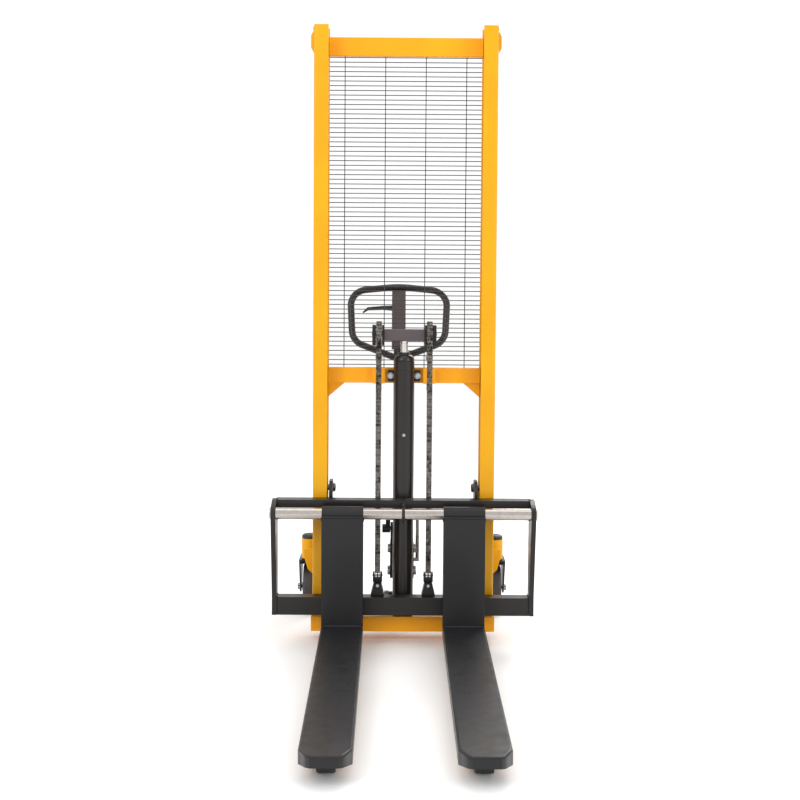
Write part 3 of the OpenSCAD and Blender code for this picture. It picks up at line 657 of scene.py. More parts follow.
class StackerBase(StackerPiece, bpy.types.Operator):
    """Builds the base beam, the legs, the caster arms, their caps and the front axles"""

    bl_idname = "stacker.base"
    bl_label = "Base and legs"

    def execute(self, context):
        size = sizes()
        # the base beam and legs take the more orange enamel, which is painted shade
        yellow, finish = "yellow_paint", "stoved_enamel_yellow_painted_shade"
        beam = rounded_copy("base_beam", "base_beam_finished", size.edge_section, 3)
        fit(beam, "chassis", yellow, finish, "base_beam")
        for side, sign in SIDES.items():
            leg = rounded_copy(f"base_leg_{side}", f"leg_{side}", size.edge_plate)
            fit(leg, "chassis", yellow, finish, f"base_leg_{side}")
            arm = rounded_copy(f"caster_arm_{side}", f"caster_housing_{side}", size.edge_section, 3)
            fit(arm, "chassis", yellow, "stoved_enamel_mast_yellow", f"caster_arm_{side}")

        low, high = node_box("base_leg_right")
        front = node_box("base_beam")[0].y
        arm_low = node_box("caster_arm_right")[0]
        depth = node_box("mast_top_beam")[1].y
        beads = [
            weld((low.x + 3, front - 0.3, high.z), (high.x - 3, front - 0.3, high.z)),
            weld((low.x, front - 0.3, 30), (low.x, front - 0.3, high.z - 2), 2.6),
            weld((high.x, front - 0.3, 30), (high.x, front - 0.3, high.z - 2), 2.6),
            weld((arm_low.x + 3, depth + 0.5, 266), (arm_low.x + 42, depth + 0.5, 266)),
            weld((arm_low.x, depth + 0.5, 211), (arm_low.x, depth + 0.5, 264)),
        ]
        beads += [mirrored(bead, "bead") for bead in beads]
        fit(join("base_weld_beads", beads), "chassis", yellow, finish)

        # domed caps over the kingpins
        cap_low, cap_high = node_box("caster_caps")
        r = (cap_high.y - cap_low.y) / 2
        middle = cap_high.x - r
        y = (cap_low.y + cap_high.y) / 2
        profile = [(0, 0), (r - 0.8, 0), (r, 0.8), (r, 7), (r - 0.8, 9.5), (r - 3, 12), (r - 7, 14.1),
                   (r - 14, 15.4), (10, 15.9), (6, 15.2), (5, 14.6), (0, 14.6)]
        cap = lathe("cap", profile, (middle, y, cap_low.z), "Z", 56)
        fit(join("kingpin_caps", [cap, mirrored(cap, "cap")]), "chassis", "black_nylon", "moulded_abs_black",
            "caster_caps")

        # front axles with a chamfered outer end and a clip groove on the inner one
        a_low, a_high = node_box("front_axles")
        r = (a_high.z - a_low.z) / 2
        axle_y, axle_z = (a_low.y + a_high.y) / 2, (a_low.z + a_high.z) / 2
        inner, outer = low.x, high.x
        profile = [(0, 0), (r - 1.2, 0), (r, 1.2), (r, 2.2), (r - 1.2, 2.3), (r - 1.2, 3.5), (r, 3.6),
                   (r, outer - inner - 1.2), (r - 1.2, outer - inner), (0, outer - inner)]
        axle = lathe("axle", profile, (inner, axle_y, axle_z), "X", 32)
        fit(join("front_axles_turned", [axle, mirrored(axle, "axle")]), "chassis", "bright_steel",
            "zinc_plated_steel", "front_axles")
        return {"FINISHED"}


class StackerFrontRollers(StackerPiece, bpy.types.Operator):
    """Builds the two load rollers at the toes of the legs"""

    bl_idname = "stacker.front_rollers"
    bl_label = "Front rollers"

    def execute(self, context):
        low, high = node_box("front_roller_right")
        centre = ((low.x + high.x) / 2, (low.y + high.y) / 2, (low.z + high.z) / 2)
        half, r = (high.x - low.x) / 2, (high.z - low.z) / 2
        tread = [(24, -half + 2), (26, -half), (r - 3, -half), (r - 1, -half + 0.8), (r, -half + 3),
                 (r, half - 3), (r - 1, half - 0.8), (r - 3, half), (26, half), (24, half - 2)]
        core = [(8.55, -half + 1), (11, -half + 1), (12, -half + 3), (17, -half + 3.4), (19, -half + 1.5),
                (24.2, -half + 1.5), (24.2, half - 1.5), (19, half - 1.5), (17, half - 3.4), (12, half - 3),
                (11, half - 1), (8.55, half - 1)]
        tyre = lathe("tread", tread, centre, "X", 64)
        hub = lathe("core", core, centre, "X", 48)
        for side in SIDES:
            right = side == "right"
            piece = tyre if right else mirrored(tyre, "tread")
            middle = hub if right else mirrored(hub, "core")
            piece.name, middle.name = f"front_roller_tread_{side}", f"front_roller_core_{side}"
            body = f"front_roller_{side}"
            fit(piece, body, "black_nylon", "cast_polyurethane_tread", body)
            fit(middle, f"front_roller_{side}", "chain_steel", "turned_bearing_steel")
        return {"FINISHED"}


class StackerCasters(StackerPiece, bpy.types.Operator):
    """Builds the caster forks, their wheels with ribbed centres, and the foot brakes"""

    bl_idname = "stacker.casters"
    bl_label = "Casters"

    def execute(self, context):
        low, high = node_box("caster_wheel_right")
        centre = Vector(((low.x + high.x) / 2, (low.y + high.y) / 2, (low.z + high.z) / 2))
        r, half = (high.z - low.z) / 2, 23
        tread = [(r - 23, -half + 3), (r - 18, -half + 0.8), (r - 8, -half), (r - 4, -half + 1.4),
                 (r - 1.2, -half + 5), (r, -half + 10), (r, half - 10), (r - 1.2, half - 5),
                 (r - 4, half - 1.4), (r - 8, half), (r - 18, half - 0.8), (r - 23, half - 3)]
        centre_disc = [(6.05, -29), (15, -29), (17, -27.5), (21, -22), (24, -13.5), (62, -12.5), (64, -21),
                       (68, -21.5), (68, 21.5), (64, 21), (62, 12.5), (24, 13.5), (21, 22), (17, 27.5),
                       (15, 29), (6.05, 29)]
        tyre = lathe("tread", tread, centre, "X", 72)
        disc = lathe("disc", centre_disc, centre, "X", 60)
        ribs = []
        rib = plate("rib", [(centre.y - 2.2, centre.z + 20), (centre.y - 1.6, centre.z + 63),
                            (centre.y + 1.6, centre.z + 63), (centre.y + 2.2, centre.z + 20)],
                    "X", centre.x - 19, centre.x + 19, 0.6, 1)
        for i in range(10):
            ribs.append(turned_copy(rib, "X", centre, 36 * i))
        bpy.data.objects.remove(rib)
        hub = join("hub", [disc, *ribs])
        fork = rounded_copy("caster_fork_right", "caster_fork_finished_right", sizes().edge_plate)
        brake = rounded_copy("caster_brake_right", "brake_pedal_right", sizes().edge_small)
        b_low, b_high = node_box("caster_brake_right")
        pad_mid = (b_low.x + b_high.x) / 2
        pads = [
            block("rib", (pad_mid - 22, b_high.y - 34 + 8 * i, b_high.z - 4.6 + 0.5 * i),
                  (pad_mid + 22, b_high.y - 29.5 + 8 * i, b_high.z - 1.6 + 0.4 * i), 0.8)
            for i in range(4)
        ]
        pad = join("brake_pad_right", pads)
        # axle nuts, each with its washer, on the outer faces of the fork
        nuts = [
            lathe("washer", ring(6, 15, -37 - 2.2, -37 + 0.4, 0.5), centre, "X", 32),
            lathe("washer", ring(6, 15, 37 - 0.4, 37 + 2.2, 0.5), centre, "X", 32),
            hex_head("nut", 19, centre, "X", -46, -38.5),
            hex_head("nut", 19, centre, "X", 38.5, 46),
        ]
        nuts_piece = join("caster_axle_nuts_right", nuts)
        pieces = {
            "tread": (tyre, "caster_wheel", "black_nylon", "cast_polyurethane_tread", "caster_wheel"),
            "hub": (hub, "caster_wheel", "black_nylon", "moulded_nylon_grey", None),
            "fork": (fork, "caster", "black_paint", "sprayed_enamel_carriage_black", "caster_fork"),
            "axle_nuts": (nuts_piece, "caster", "bright_steel", "zinc_plated_steel", None),
            "brake": (brake, "brake", "black_paint", "sprayed_enamel_carriage_black", "caster_brake"),
            "brake_pad": (pad, "brake", "black_nylon", "moulded_rubber_black", None),
        }
        for kind, (piece, body, slot, finish, node) in pieces.items():
            for side in SIDES:
                obj = piece if side == "right" else mirrored(piece, "twin")
                obj.name = obj.data.name = f"caster_{kind}_piece_{side}"
                fit(obj, f"{body}_{side}", slot, finish, *([f"{node}_{side}"] if node else []))
        return {"FINISHED"}


# ---- hydraulics ----


class StackerCylinder(StackerPiece, bpy.types.Operator):
    """Builds the lift cylinder, its gland, bleed screw, clamp and clamp bolts"""

    bl_idname = "stacker.cylinder"
    bl_label = "Lift cylinder"

    def execute(self, context):
        low, high = node_box("lift_cylinder")
        r = (high.x - low.x) / 2
        x, y = (low.x + high.x) / 2, (low.y + high.y) / 2
        tall = high.z - low.z
        body = [(0, 0), (r + 1.8, 0), (r + 2.2, 2), (r + 1.4, 4), (r, 5.5), (r, tall - 34), (r - 0.5, tall - 33.4),
                (r - 0.5, tall - 31.6), (r, tall - 31), (r, tall - 2), (r - 1.6, tall), (r - 10, tall),
                (r - 10, 14), (0, 14)]
        tube_piece = lathe("cylinder_tube", body, (x, y, low.z), "Z", 80)
        fit(tube_piece, "chassis", "black_paint", "enamelled_tube_black", "lift_cylinder")
        g_low, g_high = node_box("cylinder_gland")
        rod = (node_box("ram")[1].x - node_box("ram")[0].x) / 2
        g = g_high.z - g_low.z
        neck, shoulder = 19, r - 0.3
        dome = [(neck + (shoulder - neck) * math.cos(t), 1.5 + (g - 8.5) * math.sin(t))
                for t in np.radians(range(0, 91, 10))]
        gland = [(rod + 0.05, 0), (shoulder, 0), *dome, (19, g - 1), (18.1, g), (16.4, g),
                 (16.2, g - 1.2), (rod + 0.05, g - 1.2)]
        fit(lathe("cylinder_gland_turned", gland, (x, y, g_low.z), "Z", 72), "chassis", "black_paint",
            "enamelled_tube_black", "cylinder_gland")
        wiper = [(rod + 0.1, -1.6), (16, -1.6), (16.3, 0.4), (15, 1.3), (rod + 0.6, 1.9)]
        fit(lathe("rod_wiper", wiper, (x, y, g_high.z - 0.5), "Z", 56), "chassis", "black_nylon",
            "moulded_rubber_black")

        s_low, s_high = node_box("bleed_screw")
        middle = ((s_low.x + s_high.x) / 2, 0, (s_low.z + s_high.z) / 2)
        screw = [hex_head("head", 8, middle, "Y", s_low.y, s_high.y),
                 lathe("seat", ring(0, 5.6, s_high.y - 1.2, s_high.y + 0.4, 0.4), middle, "Y", 24)]
        fit(join("bleed_screw_fitted", screw), "chassis", "bright_steel", "zinc_plated_steel", "bleed_screw")

        clamp = rounded_copy("cylinder_clamp", "cylinder_clamp_finished", 2.4, 3)
        fit(clamp, "chassis", "black_paint", "sprayed_enamel_carriage_black", "cylinder_clamp")
        c_low, c_high = node_box("clamp_bolts")
        z = (c_low.z + c_high.z) / 2
        offset = c_high.x - 18 / math.sqrt(3)
        back = node_box("mast_mid_beam")[1].y
        face = node_box("cylinder_clamp")[0].y
        parts = [
            hex_head("head", 16, (offset, 0, z), "Y", c_low.y, face - 1.4),
            lathe("washer", ring(0, 10.8, face - 2, face, 0.4), (offset, 0, z), "Y", 36),
            lathe("washer", ring(0, 10.8, back, back + 2, 0.4), (offset, 0, z), "Y", 36),
            hex_head("nut", 16, (offset, 0, z), "Y", back + 1.4, back + 10),
            lathe("shank", threaded(6, back + 9, c_high.y, 1.75), (offset, 0, z), "Y", 20, angle=60),
        ]
        parts += [mirrored(part, "part") for part in parts]
        fit(join("clamp_bolts_fitted", parts), "chassis", "bright_steel", "zinc_plated_steel", "clamp_bolts")
        return {"FINISHED"}


def threaded(radius, start, end, pitch):
    """The profile of a threaded end, each turn of the thread drawn as a ring."""
    count = max(2, int((end - start) / pitch))
    profile = [(0, start)]
    for i in range(count):
        profile += [(radius * 0.86, start + pitch * i), (radius, start + pitch * (i + 0.5))]
    return profile + [(radius * 0.8, end), (0, end)]


class StackerPump(StackerPiece, bpy.types.Operator):
    """Builds the pump, the hydraulic block, the pressure pipe, the plugs and bolts"""

    bl_idname = "stacker.pump"
    bl_label = "Pump"

    def execute(self, context):
        black, iron = "black_paint", "enamelled_cast_iron_black"
        fit(rounded_copy("hydraulic_block", "hydraulic_block_finished", 2.2, 3), "chassis", black, iron,
            "hydraulic_block")
        fit(rounded_copy("pump_body", "pump_casting", 3.2, 3), "chassis", black, iron, "pump_body")
        p_high = node_box("pump_body")[1]
        heads = []
        for z in (215, 293):
            for y in (100, 160):
                for sign, edge in ((1, 38.0), (-1, -44.0)):
                    start, end = sorted((edge + sign * 1.2, edge + sign * 9))
                    heads.append(hex_head("head", 16, (0, y, z), "X", start, end))
                    start, end = sorted((edge - sign * 0.5, edge + sign * 1.6))
                    heads.append(lathe("washer", ring(0, 10.6, start, end, 0.4), (0, y, z), "X", 28))
        fit(join("pump_bolts_fitted", heads), "chassis", "bright_steel", "zinc_plated_steel", "pump_bolts")
        # oil filler plug, relief valve cap and the steel pressure pipe down to the block
        h_low, h_high = node_box("hydraulic_block")
        pipe_x, foot = 22, (h_low.z + h_high.z) / 2
        plugs = [
            hex_head("plug", 17, (24, 96, 0), "Z", p_high.z - 54, p_high.z - 50 + 1),
            hex_head("relief", 15, (-28, 0, 236), "Y", 66, 74.5),
            lathe("relief_cap", rounded_bar(6, 58, 67, 1.2), (-28, 0, 236), "Y", 28),
            hex_head("union_top", 14, (pipe_x, 0, 230), "Y", p_high.y, p_high.y + 8),
            hex_head("union_foot", 14, (pipe_x, 0, foot), "Y", h_high.y, h_high.y + 8),
        ]
        fit(join("pump_plugs_and_unions", plugs), "chassis", "bright_steel", "zinc_plated_steel")
        out = p_high.y + 14
        turn = [(6 * math.sin(a), 6 * math.cos(a)) for a in np.radians(range(0, 91, 18))]
        bend = [(pipe_x, p_high.y + 4, 230)] + [(pipe_x, out - 6 + a, 224 + b) for a, b in turn]
        bend += [(pipe_x, out - 6 + a, foot + 6 - b) for a, b in reversed(turn)] + [(pipe_x, h_high.y + 4, foot)]
        fit(tube("pressure_pipe", bend, 4.0), "chassis", "bright_steel", "zinc_plated_steel")

        pin_low, pin_high = node_box("handle_pivot_pin")
        centre = (pin_low.x, (pin_low.y + pin_high.y) / 2, (pin_low.z + pin_high.z) / 2)
        long = pin_high.x - pin_low.x
        pin = [(0, 0), (6.6, 0), (8, 1.4), (8, 3), (6.9, 3.2), (6.9, 4.6), (8, 4.8), (8, long - 4.8),
               (6.9, long - 4.6), (6.9, long - 3.2), (8, long - 3), (8, long - 1.4), (6.6, long), (0, long)]
        fit(lathe("handle_pivot_turned", pin, centre, "X", 36), "chassis", "bright_steel",
            "turned_bearing_steel", "handle_pivot_pin")
        q_low, q_high = node_box("pump_plunger")
        x, y = (q_low.x + q_high.x) / 2, (q_low.y + q_high.y) / 2
        fit(lathe("pump_plunger_ground", rounded_bar(11, q_low.z, q_high.z, 1.6), (x, y, 0), "Z", 48),
            "pump_plunger", "chrome", "hard_chrome_ground", "pump_plunger")
        return {"FINISHED"}


# ---- chains, ram and sheaves ----


def link_outline(height, pitch, waist):
    """A chain plate seen from the side: two round ends joined by a waist, in (Y, Z)."""
    r = height / 2
    points = [(r * math.cos(a), pitch + r * math.sin(a)) for a in np.radians([20, 65, 115, 160])]
    points += [(-waist, pitch / 2)]
    points += [(r * math.cos(a), r * math.sin(a)) for a in np.radians([200, 245, 295, 340])]
    return points + [(waist, pitch / 2)]


LACING = ((0, 3, 4, 7), (1, 2, 5, 6))  # the columns of eight that each of two links fills


def leaf_link(centre, pitch, height, width, lacing):
    """One link of leaf chain: its plates in their columns, and the pin at its lower end."""
    x, y, z = centre
    column = (width - 0.6) / 8
    outline = [(y + a, z + b) for a, b in link_outline(height, pitch, height * 0.4)]
    parts = []
    for place in LACING[lacing]:
        start = x + column * (place - 4) + 0.06
        parts.append(plate("plate", outline, "X", start, start + column - 0.12, 0, 1))
    parts.append(lathe("pin", ring(0, 2.6, -width / 2, width / 2, 0.4), centre, "X", 12))
    return join("link", parts)


def pay_out(piece, low, high, lift):
    """Packs a strand drawn at its full run, so that it runs straight when the ram has paid it out."""
    share = np.linspace(0, 1, 4001)
    run = low + (high - low) * share + lift * share**2 * (3 - 2 * share)
    for corner in piece.data.vertices:
        packed = np.interp(corner.co.z, run, share)
        corner.co.z = low + (high - low) * packed


class StackerChains(StackerPiece, bpy.types.Operator):
    """Builds both lift chains link by link: the front runs, the rear runs and the wraps"""

    bl_idname = "stacker.chains"
    bl_label = "Lift chains"

    def execute(self, context):
        pitch = sizes().chain_pitch
        f_low, f_high = node_box("chain_front")
        r_low, r_high = node_box("chain_rear")
        s_low, s_high = node_box("sheave_right")
        x, width = (s_low.x + s_high.x) / 2, s_high.x - s_low.x
        tall = f_high.y - f_low.y
        lift = next(j for j in frame["joints"] if j["name"] == "ram_lift")["range_m"][1]

        def strand(name, y, start, end):
            first = start + tall / 2
            pairs = round((end - first) / (2 * pitch))
            step = (end - first) / (2 * pairs)
            pair = [leaf_link((x, y, first + step * i), step, tall, width, i) for i in range(2)]
            links = join("links", pair)
            finish_with(links, "ARRAY", use_relative_offset=False, use_constant_offset=True,
                        constant_offset_displace=Vector((0, 0, 2 * step * MM)), count=pairs)
            return join(name, [links, mirrored(links, "twin")])

        front = strand("chain_front_run", (f_low.y + f_high.y) / 2, f_low.z, f_high.z)
        front.data.materials.clear()
        front.data.materials.append(materials["oiled_chain_steel"])
        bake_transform(front)
        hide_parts("chain_front")

        rear = strand("chain_rear_run", (r_low.y + r_high.y) / 2, r_low.z, r_high.z + lift / MM)
        pay_out(rear, r_low.z * MM, r_high.z * MM, lift)
        rear.data.materials.clear()
        rear.data.materials.append(materials["oiled_chain_steel"])
        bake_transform(rear)
        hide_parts("chain_rear")

        # the wrap: links laced in turn, their pins on the sheave's pitch circle
        w_low, w_high = node_box("chain_wraps")
        y, z = (w_low.y + w_high.y) / 2, f_high.z
        radius = (f_low.y + f_high.y) / 2 - y
        count = 9
        angle = 180 / count
        chord = 2 * abs(radius) * math.sin(math.radians(angle / 2))
        flat = y + radius * math.cos(math.radians(angle / 2))
        turns = []
        for i in range(count):
            link = leaf_link((x, flat, z - chord / 2), chord, tall, width, i % 2)
            turns.append(turned_copy(link, "X", (x, y, z), -angle * (i + 0.5)))
            bpy.data.objects.remove(link)
        wrap = join("chain_wrap", turns)
        fit(join("chain_wraps_linked", [wrap, mirrored(wrap, "twin")]), "ram", "chain_steel",
            "oiled_chain_steel", "chain_wraps")
        return {"FINISHED"}


class StackerLift(StackerPiece, bpy.types.Operator):
    """Builds the ram, the crosshead, the cheeks, the sheaves and both pairs of chain anchors"""

    bl_idname = "stacker.lift"
    bl_label = "Ram and sheaves"

    def execute(self, context):
        low, high = node_box("ram")
        r = (high.x - low.x) / 2
        x, y = (low.x + high.x) / 2, (low.y + high.y) / 2
        fit(lathe("ram_ground", rounded_bar(r, low.z, high.z, 1.5), (x, y, 0), "Z", 64), "ram", "chrome",
            "hard_chrome_ground", "ram")
        head = rounded_copy("crosshead", "crosshead_finished", 3.0, 3)
        fit(head, "ram", "plum_paint", "matt_enamel_plum_grey", "crosshead")
        fit(rounded_copy("sheave_cheeks", "sheave_cheek_plates", 2.0), "ram", "black_paint",
            "sprayed_enamel_carriage_black", "sheave_cheeks")
        p_high = node_box("sheave_pins")[1]
        s_low, s_high = node_box("sheave_right")
        middle = ((s_low.x + s_high.x) / 2, (s_low.y + s_high.y) / 2, (s_low.z + s_high.z) / 2)
        inner = node_box("crosshead")[1].x + 0.5
        start, end = inner - middle[0], p_high.x - middle[0]
        pin = [(0, start), (8, start), (8, end - 3.4), (6.8, end - 3.2), (6.8, end - 2.2), (8, end - 2), (8, end - 1),
               (7, end), (0, end)]
        right = lathe("pin", pin, middle, "X", 36)
        clip = lathe("clip", ring(6.8, 10.4, end - 3.2, end - 2.1, 0.3), middle, "X", 30)
        parts = [right, clip]
        parts += [mirrored(part, "part") for part in parts]
        fit(join("sheave_pins_clipped", parts), "ram", "bright_steel", "zinc_plated_steel", "sheave_pins")
        rs, half = (s_high.z - s_low.z) / 2, (s_high.x - s_low.x) / 2
        groove = [(8.05, -half), (13, -half), (14, -half + 1.2), (rs - 6, -half + 1.6), (rs - 4, -half + 0.4),
                  (rs - 0.8, -half + 0.4), (rs, -half + 1.4), (rs, -half + 3.2), (rs - 1.6, -half + 4.4),
                  (rs - 1.6, half - 4.4), (rs, half - 3.2), (rs, half - 1.4), (rs - 0.8, half - 0.4),
                  (rs - 4, half - 0.4), (rs - 6, half - 1.6), (14, half - 1.2), (13, half), (8.05, half)]
        wheel = lathe("sheave_turned_right", groove, middle, "X", 56)
        twin = mirrored(wheel, "sheave_turned_left")
        fit(wheel, "sheave_right", "chain_steel", "turned_bearing_steel", "sheave_right")
        fit(twin, "sheave_left", "chain_steel", "turned_bearing_steel", "sheave_left")

        # rear anchors: threaded rods held under and over the middle beam
        a_low, a_high = node_box("rear_chain_anchors")
        ax, ay = middle[0], (node_box("chain_rear")[0].y + node_box("chain_rear")[1].y) / 2
        m_low, m_high = node_box("mast_mid_beam")
        parts = [
            lathe("rod", threaded(6, a_low.z, m_low.z - 1, 1.75), (ax, ay, 0), "Z", 18, angle=60),
            lathe("rod", rounded_bar(6, m_low.z - 2, m_high.z + 26, 0.6), (ax, ay, 0), "Z", 24),
            lathe("washer", ring(0, 13, m_low.z - 2, m_low.z, 0.4), (ax, ay, 0), "Z", 32),
            hex_head("nut", 19, (ax, ay, 0), "Z", m_low.z - 11, m_low.z - 1.6),
            hex_head("nut", 19, (ax, ay, 0), "Z", m_low.z - 23, m_low.z - 12),
            block("clevis", (ax - 12, ay - 7, m_high.z + 24), (ax + 12, ay + 7, a_high.z), 1.6),
            lathe("pin", rounded_bar(2.4, -13.5, 13.5, 0.5), (ax, ay, a_high.z - 6), "X", 16),
        ]
        parts += [mirrored(part, "part") for part in parts]
        fit(join("rear_anchor_rods", parts), "chassis", "bright_steel", "zinc_plated_steel", "rear_chain_anchors")

        anchors = rounded_copy("front_chain_anchors", "front_anchor_plates", sizes().edge_plate)
        fit(anchors, "carriage", "black_paint", "sprayed_enamel_carriage_black", "front_chain_anchors")
        n_low = node_box("front_chain_anchors")[0]
        nx = middle[0]
        c_low, c_high = node_box("chain_front")
        link_pin = (nx, (c_low.y + c_high.y) / 2, c_low.z + (c_high.y - c_low.y) / 2)
        parts = [
            lathe("eye", rounded_bar(5.5, n_low.y - 2.4, n_low.y + 1, 0.9), (nx, 0, n_low.z + 34), "Y", 28),
            lathe("pin", rounded_bar(3, -17.6, 17.6, 0.6), link_pin, "X", 20),
        ]
        parts += [mirrored(part, "part") for part in parts]
        fit(join("front_anchor_pins", parts), "carriage", "bright_steel", "zinc_plated_steel")
        return {"FINISHED"}


# ---- carriage and forks ----


class StackerCarriage(StackerPiece, bpy.types.Operator):
    """Builds the carriage beams and plates, the chrome shaft, the roller pins and mast rollers"""

    bl_idname = "stacker.carriage"
    bl_label = "Carriage"

    def execute(self, context):
        size = sizes()
        black, finish = "black_paint", "sprayed_enamel_carriage_black"
        for node, width in (("carriage_top_beam", size.edge_section), ("carriage_lower_beam", size.edge_section),
                            ("carriage_end_plates", 1.8), ("carriage_side_plates", size.edge_plate)):
            fit(rounded_copy(node, node + "_finished", width, 3), "carriage", black, finish, node)

        t_high = node_box("carriage_top_beam")[1]
        l_low, l_high = node_box("carriage_lower_beam")
        end = l_high.x
        front = l_low.y
        side_high = node_box("carriage_side_plates")[1]
        plate_in = side_high.x - 12
        beads = [
            weld((end, front, l_low.z + 3), (end, front, l_high.z - 2)),
            weld((end, front + 2, l_high.z), (end, -12, l_high.z)),
            weld((end, front + 2, t_high.z - 0.5), (end, -26, t_high.z - 0.5)),
            weld((end, front + 2, t_high.z - 66), (end, -12, t_high.z - 66)),
            weld((plate_in, -10, t_high.z - 64), (plate_in, -10, t_high.z - 4)),
            weld((plate_in, -10, l_low.z + 3), (plate_in, -10, l_high.z - 3)),
        ]
        beads += [mirrored(bead, "bead") for bead in beads]
        fit(join("carriage_weld_beads", beads), "carriage", black, finish)

        s_low, s_high = node_box("fork_shaft")
        r = (s_high.z - s_low.z) / 2
        centre = (0, (s_low.y + s_high.y) / 2, (s_low.z + s_high.z) / 2)
        half = s_high.x
        shaft = [(0, -half), (5, -half), (5.6, -half + 0.8), (r - 2.4, -half + 0.8), (r - 0.6, -half + 1.8),
                 (r, -half + 3.6), (r, half - 3.6), (r - 0.6, half - 1.8), (r - 2.4, half - 0.8), (5.6, half - 0.8),
                 (5, half), (0, half)]
        fit(lathe("fork_shaft_ground", shaft, centre, "X", 72), "carriage", "chrome", "hard_chrome_shaft",
            "fork_shaft")
        # roller pins: a domed head inside each side plate
        pins = []
        for roller in ("lower", "upper"):
            m_low, m_high = node_box(f"mast_roller_{roller}_right")
            z, y = (m_low.z + m_high.z) / 2, (m_low.y + m_high.y) / 2
            head = side_high.x - 12
            profile = [(0, head - 9), (9, head - 9), (12.5, head - 8), (14.4, head - 6), (15, head - 3), (15, head),
                       (10, head), (10, m_high.x + 1), (0, m_high.x + 1)]
            pins.append(lathe("pin", profile, (0, y, z), "X", 36))
            pins.append(lathe("dimple", ring(0, 4.0, head - 9.6, head - 8, 0.5), (0, y, z), "X", 24))
        pins += [mirrored(pin, "pin") for pin in pins]
        fit(join("roller_pins_turned", pins), "carriage", "bright_steel", "oiled_chain_steel", "roller_pins")

        for level in ("lower", "upper"):
            m_low, m_high = node_box(f"mast_roller_{level}_right")
            middle = ((m_low.x + m_high.x) / 2, (m_low.y + m_high.y) / 2, (m_low.z + m_high.z) / 2)
            w, rr = (m_high.x - m_low.x) / 2, (m_high.z - m_low.z) / 2
            race = [(10.05, -w), (16, -w), (16.6, -w + 1.2), (21, -w + 1.6), (21.6, -w + 0.4), (rr - 3, -w + 0.2),
                    (rr - 0.9, -w + 0.9), (rr, -w + 3), (rr, w - 3), (rr - 0.9, w - 0.9), (rr - 3, w - 0.2),
                    (21.6, w - 0.4), (21, w - 1.6), (16.6, w - 1.2), (16, w), (10.05, w)]
            roller = lathe(f"mast_roller_turned_{level}_right", race, middle, "X", 64)
            twin = mirrored(roller, f"mast_roller_turned_{level}_left")
            for obj, side in ((roller, "right"), (twin, "left")):
                name = f"mast_roller_{level}_{side}"
                fit(obj, name, "chain_steel", "turned_bearing_steel", name)
        return {"FINISHED"}


class StackerForks(StackerPiece, bpy.types.Operator):
    """Builds the two pressed forks with their sleeves, rolled edges and welds"""

    bl_idname = "stacker.forks"
    bl_label = "Forks"

    def execute(self, context):
        low, high = node_box("fork_right")
        shaft = node_box("fork_shaft")
        shaft_y, shaft_z = (shaft[0].y + shaft[1].y) / 2, (shaft[0].z + shaft[1].z) / 2
        heel = shaft_y - 32
        top = 85.0

        def rolled(a, b):
            """The upper outline of the blade, apart from its heel."""
            flat = abs(a.z - top) < 0.2 and abs(b.z - top) < 0.2
            return flat and min(a.y, b.y) < heel - 1 and not (abs(a.y - heel) < 1 and abs(b.y - heel) < 1)

        def shank(a, b):
            """The two front corners of the shank."""
            upright = abs(a.x - b.x) < 0.1 and abs(a.y - heel) < 0.2 and abs(b.y - heel) < 0.2
            return upright and abs(a.z - b.z) > 50

        def press(obj):
            round_chosen(obj, rolled, sizes().edge_fork, 4)
            round_chosen(obj, shank, 5.0, 3)

        middle = (low.x + high.x) / 2
        for side, sign in SIDES.items():
            fork = rounded_copy(f"fork_{side}", f"fork_pressed_{side}", 1.0, 2, 34, press)
            fit(fork, f"fork_{side}", "fork_paint", "textured_enamel_fork_black", f"fork_{side}")
            x = sign * middle
            half = (high.x - low.x) / 2
            beads = [
                weld((x - half + 2, heel + 3, shaft_z - 8), (x + half - 2, heel + 3, shaft_z - 8), 5.0),
                weld((x - half, heel + 8, shaft_z - 20), (x - half, heel + 55, shaft_z - 20), 3.0),
                weld((x + half, heel + 8, shaft_z - 20), (x + half, heel + 55, shaft_z - 20), 3.0),
                weld((x - half + 5, heel - 1, top + 0.6), (x + half - 5, heel - 1, top + 0.6), 4.6),
            ]
            fit(join(f"fork_weld_beads_{side}", beads), f"fork_{side}", "fork_paint", "textured_enamel_fork_black")
        return {"FINISHED"}


# ---- handle ----


def handle_place(across, along, out):
    """A point in the handle's own plane, in millimetres: along the arm from its pivot, out to the front."""
    pin = node_box("handle_pivot_pin")
    pivot = (Vector(pin[0]) + Vector(pin[1])) / 2
    lean = math.radians(HANDLE_LEAN)
    return Vector((
        pivot.x + across,
        pivot.y + along * math.sin(lean) - out * math.cos(lean),
        pivot.z + along * math.cos(lean) + out * math.sin(lean),
    ))


HANDLE_LEAN = 18
LOOP_TOP, LOOP_SIDE, LOOP_TUBE = 879.5, 175.5, 12.5


def bend(path, radii, steps=8):
    """The middle line of a bar bent at each inner point of a flat path."""
    line = [Vector(path[0])]
    for before, corner, after, radius in zip(path, path[1:], path[2:], radii):
        a, b, c = Vector(before), Vector(corner), Vector(after)
        one, two = (a - b).normalized(), (c - b).normalized()
        half = one.angle(two) / 2
        centre = b + (one + two).normalized() * radius / math.sin(half)
        first, last = b + one * radius / math.tan(half) - centre, b + two * radius / math.tan(half) - centre
        turn = first.angle_signed(last)
        for i in range(steps + 1):
            line.append(centre + Matrix.Rotation(-turn * i / steps, 2) @ first)
    return line + [Vector(path[-1])]


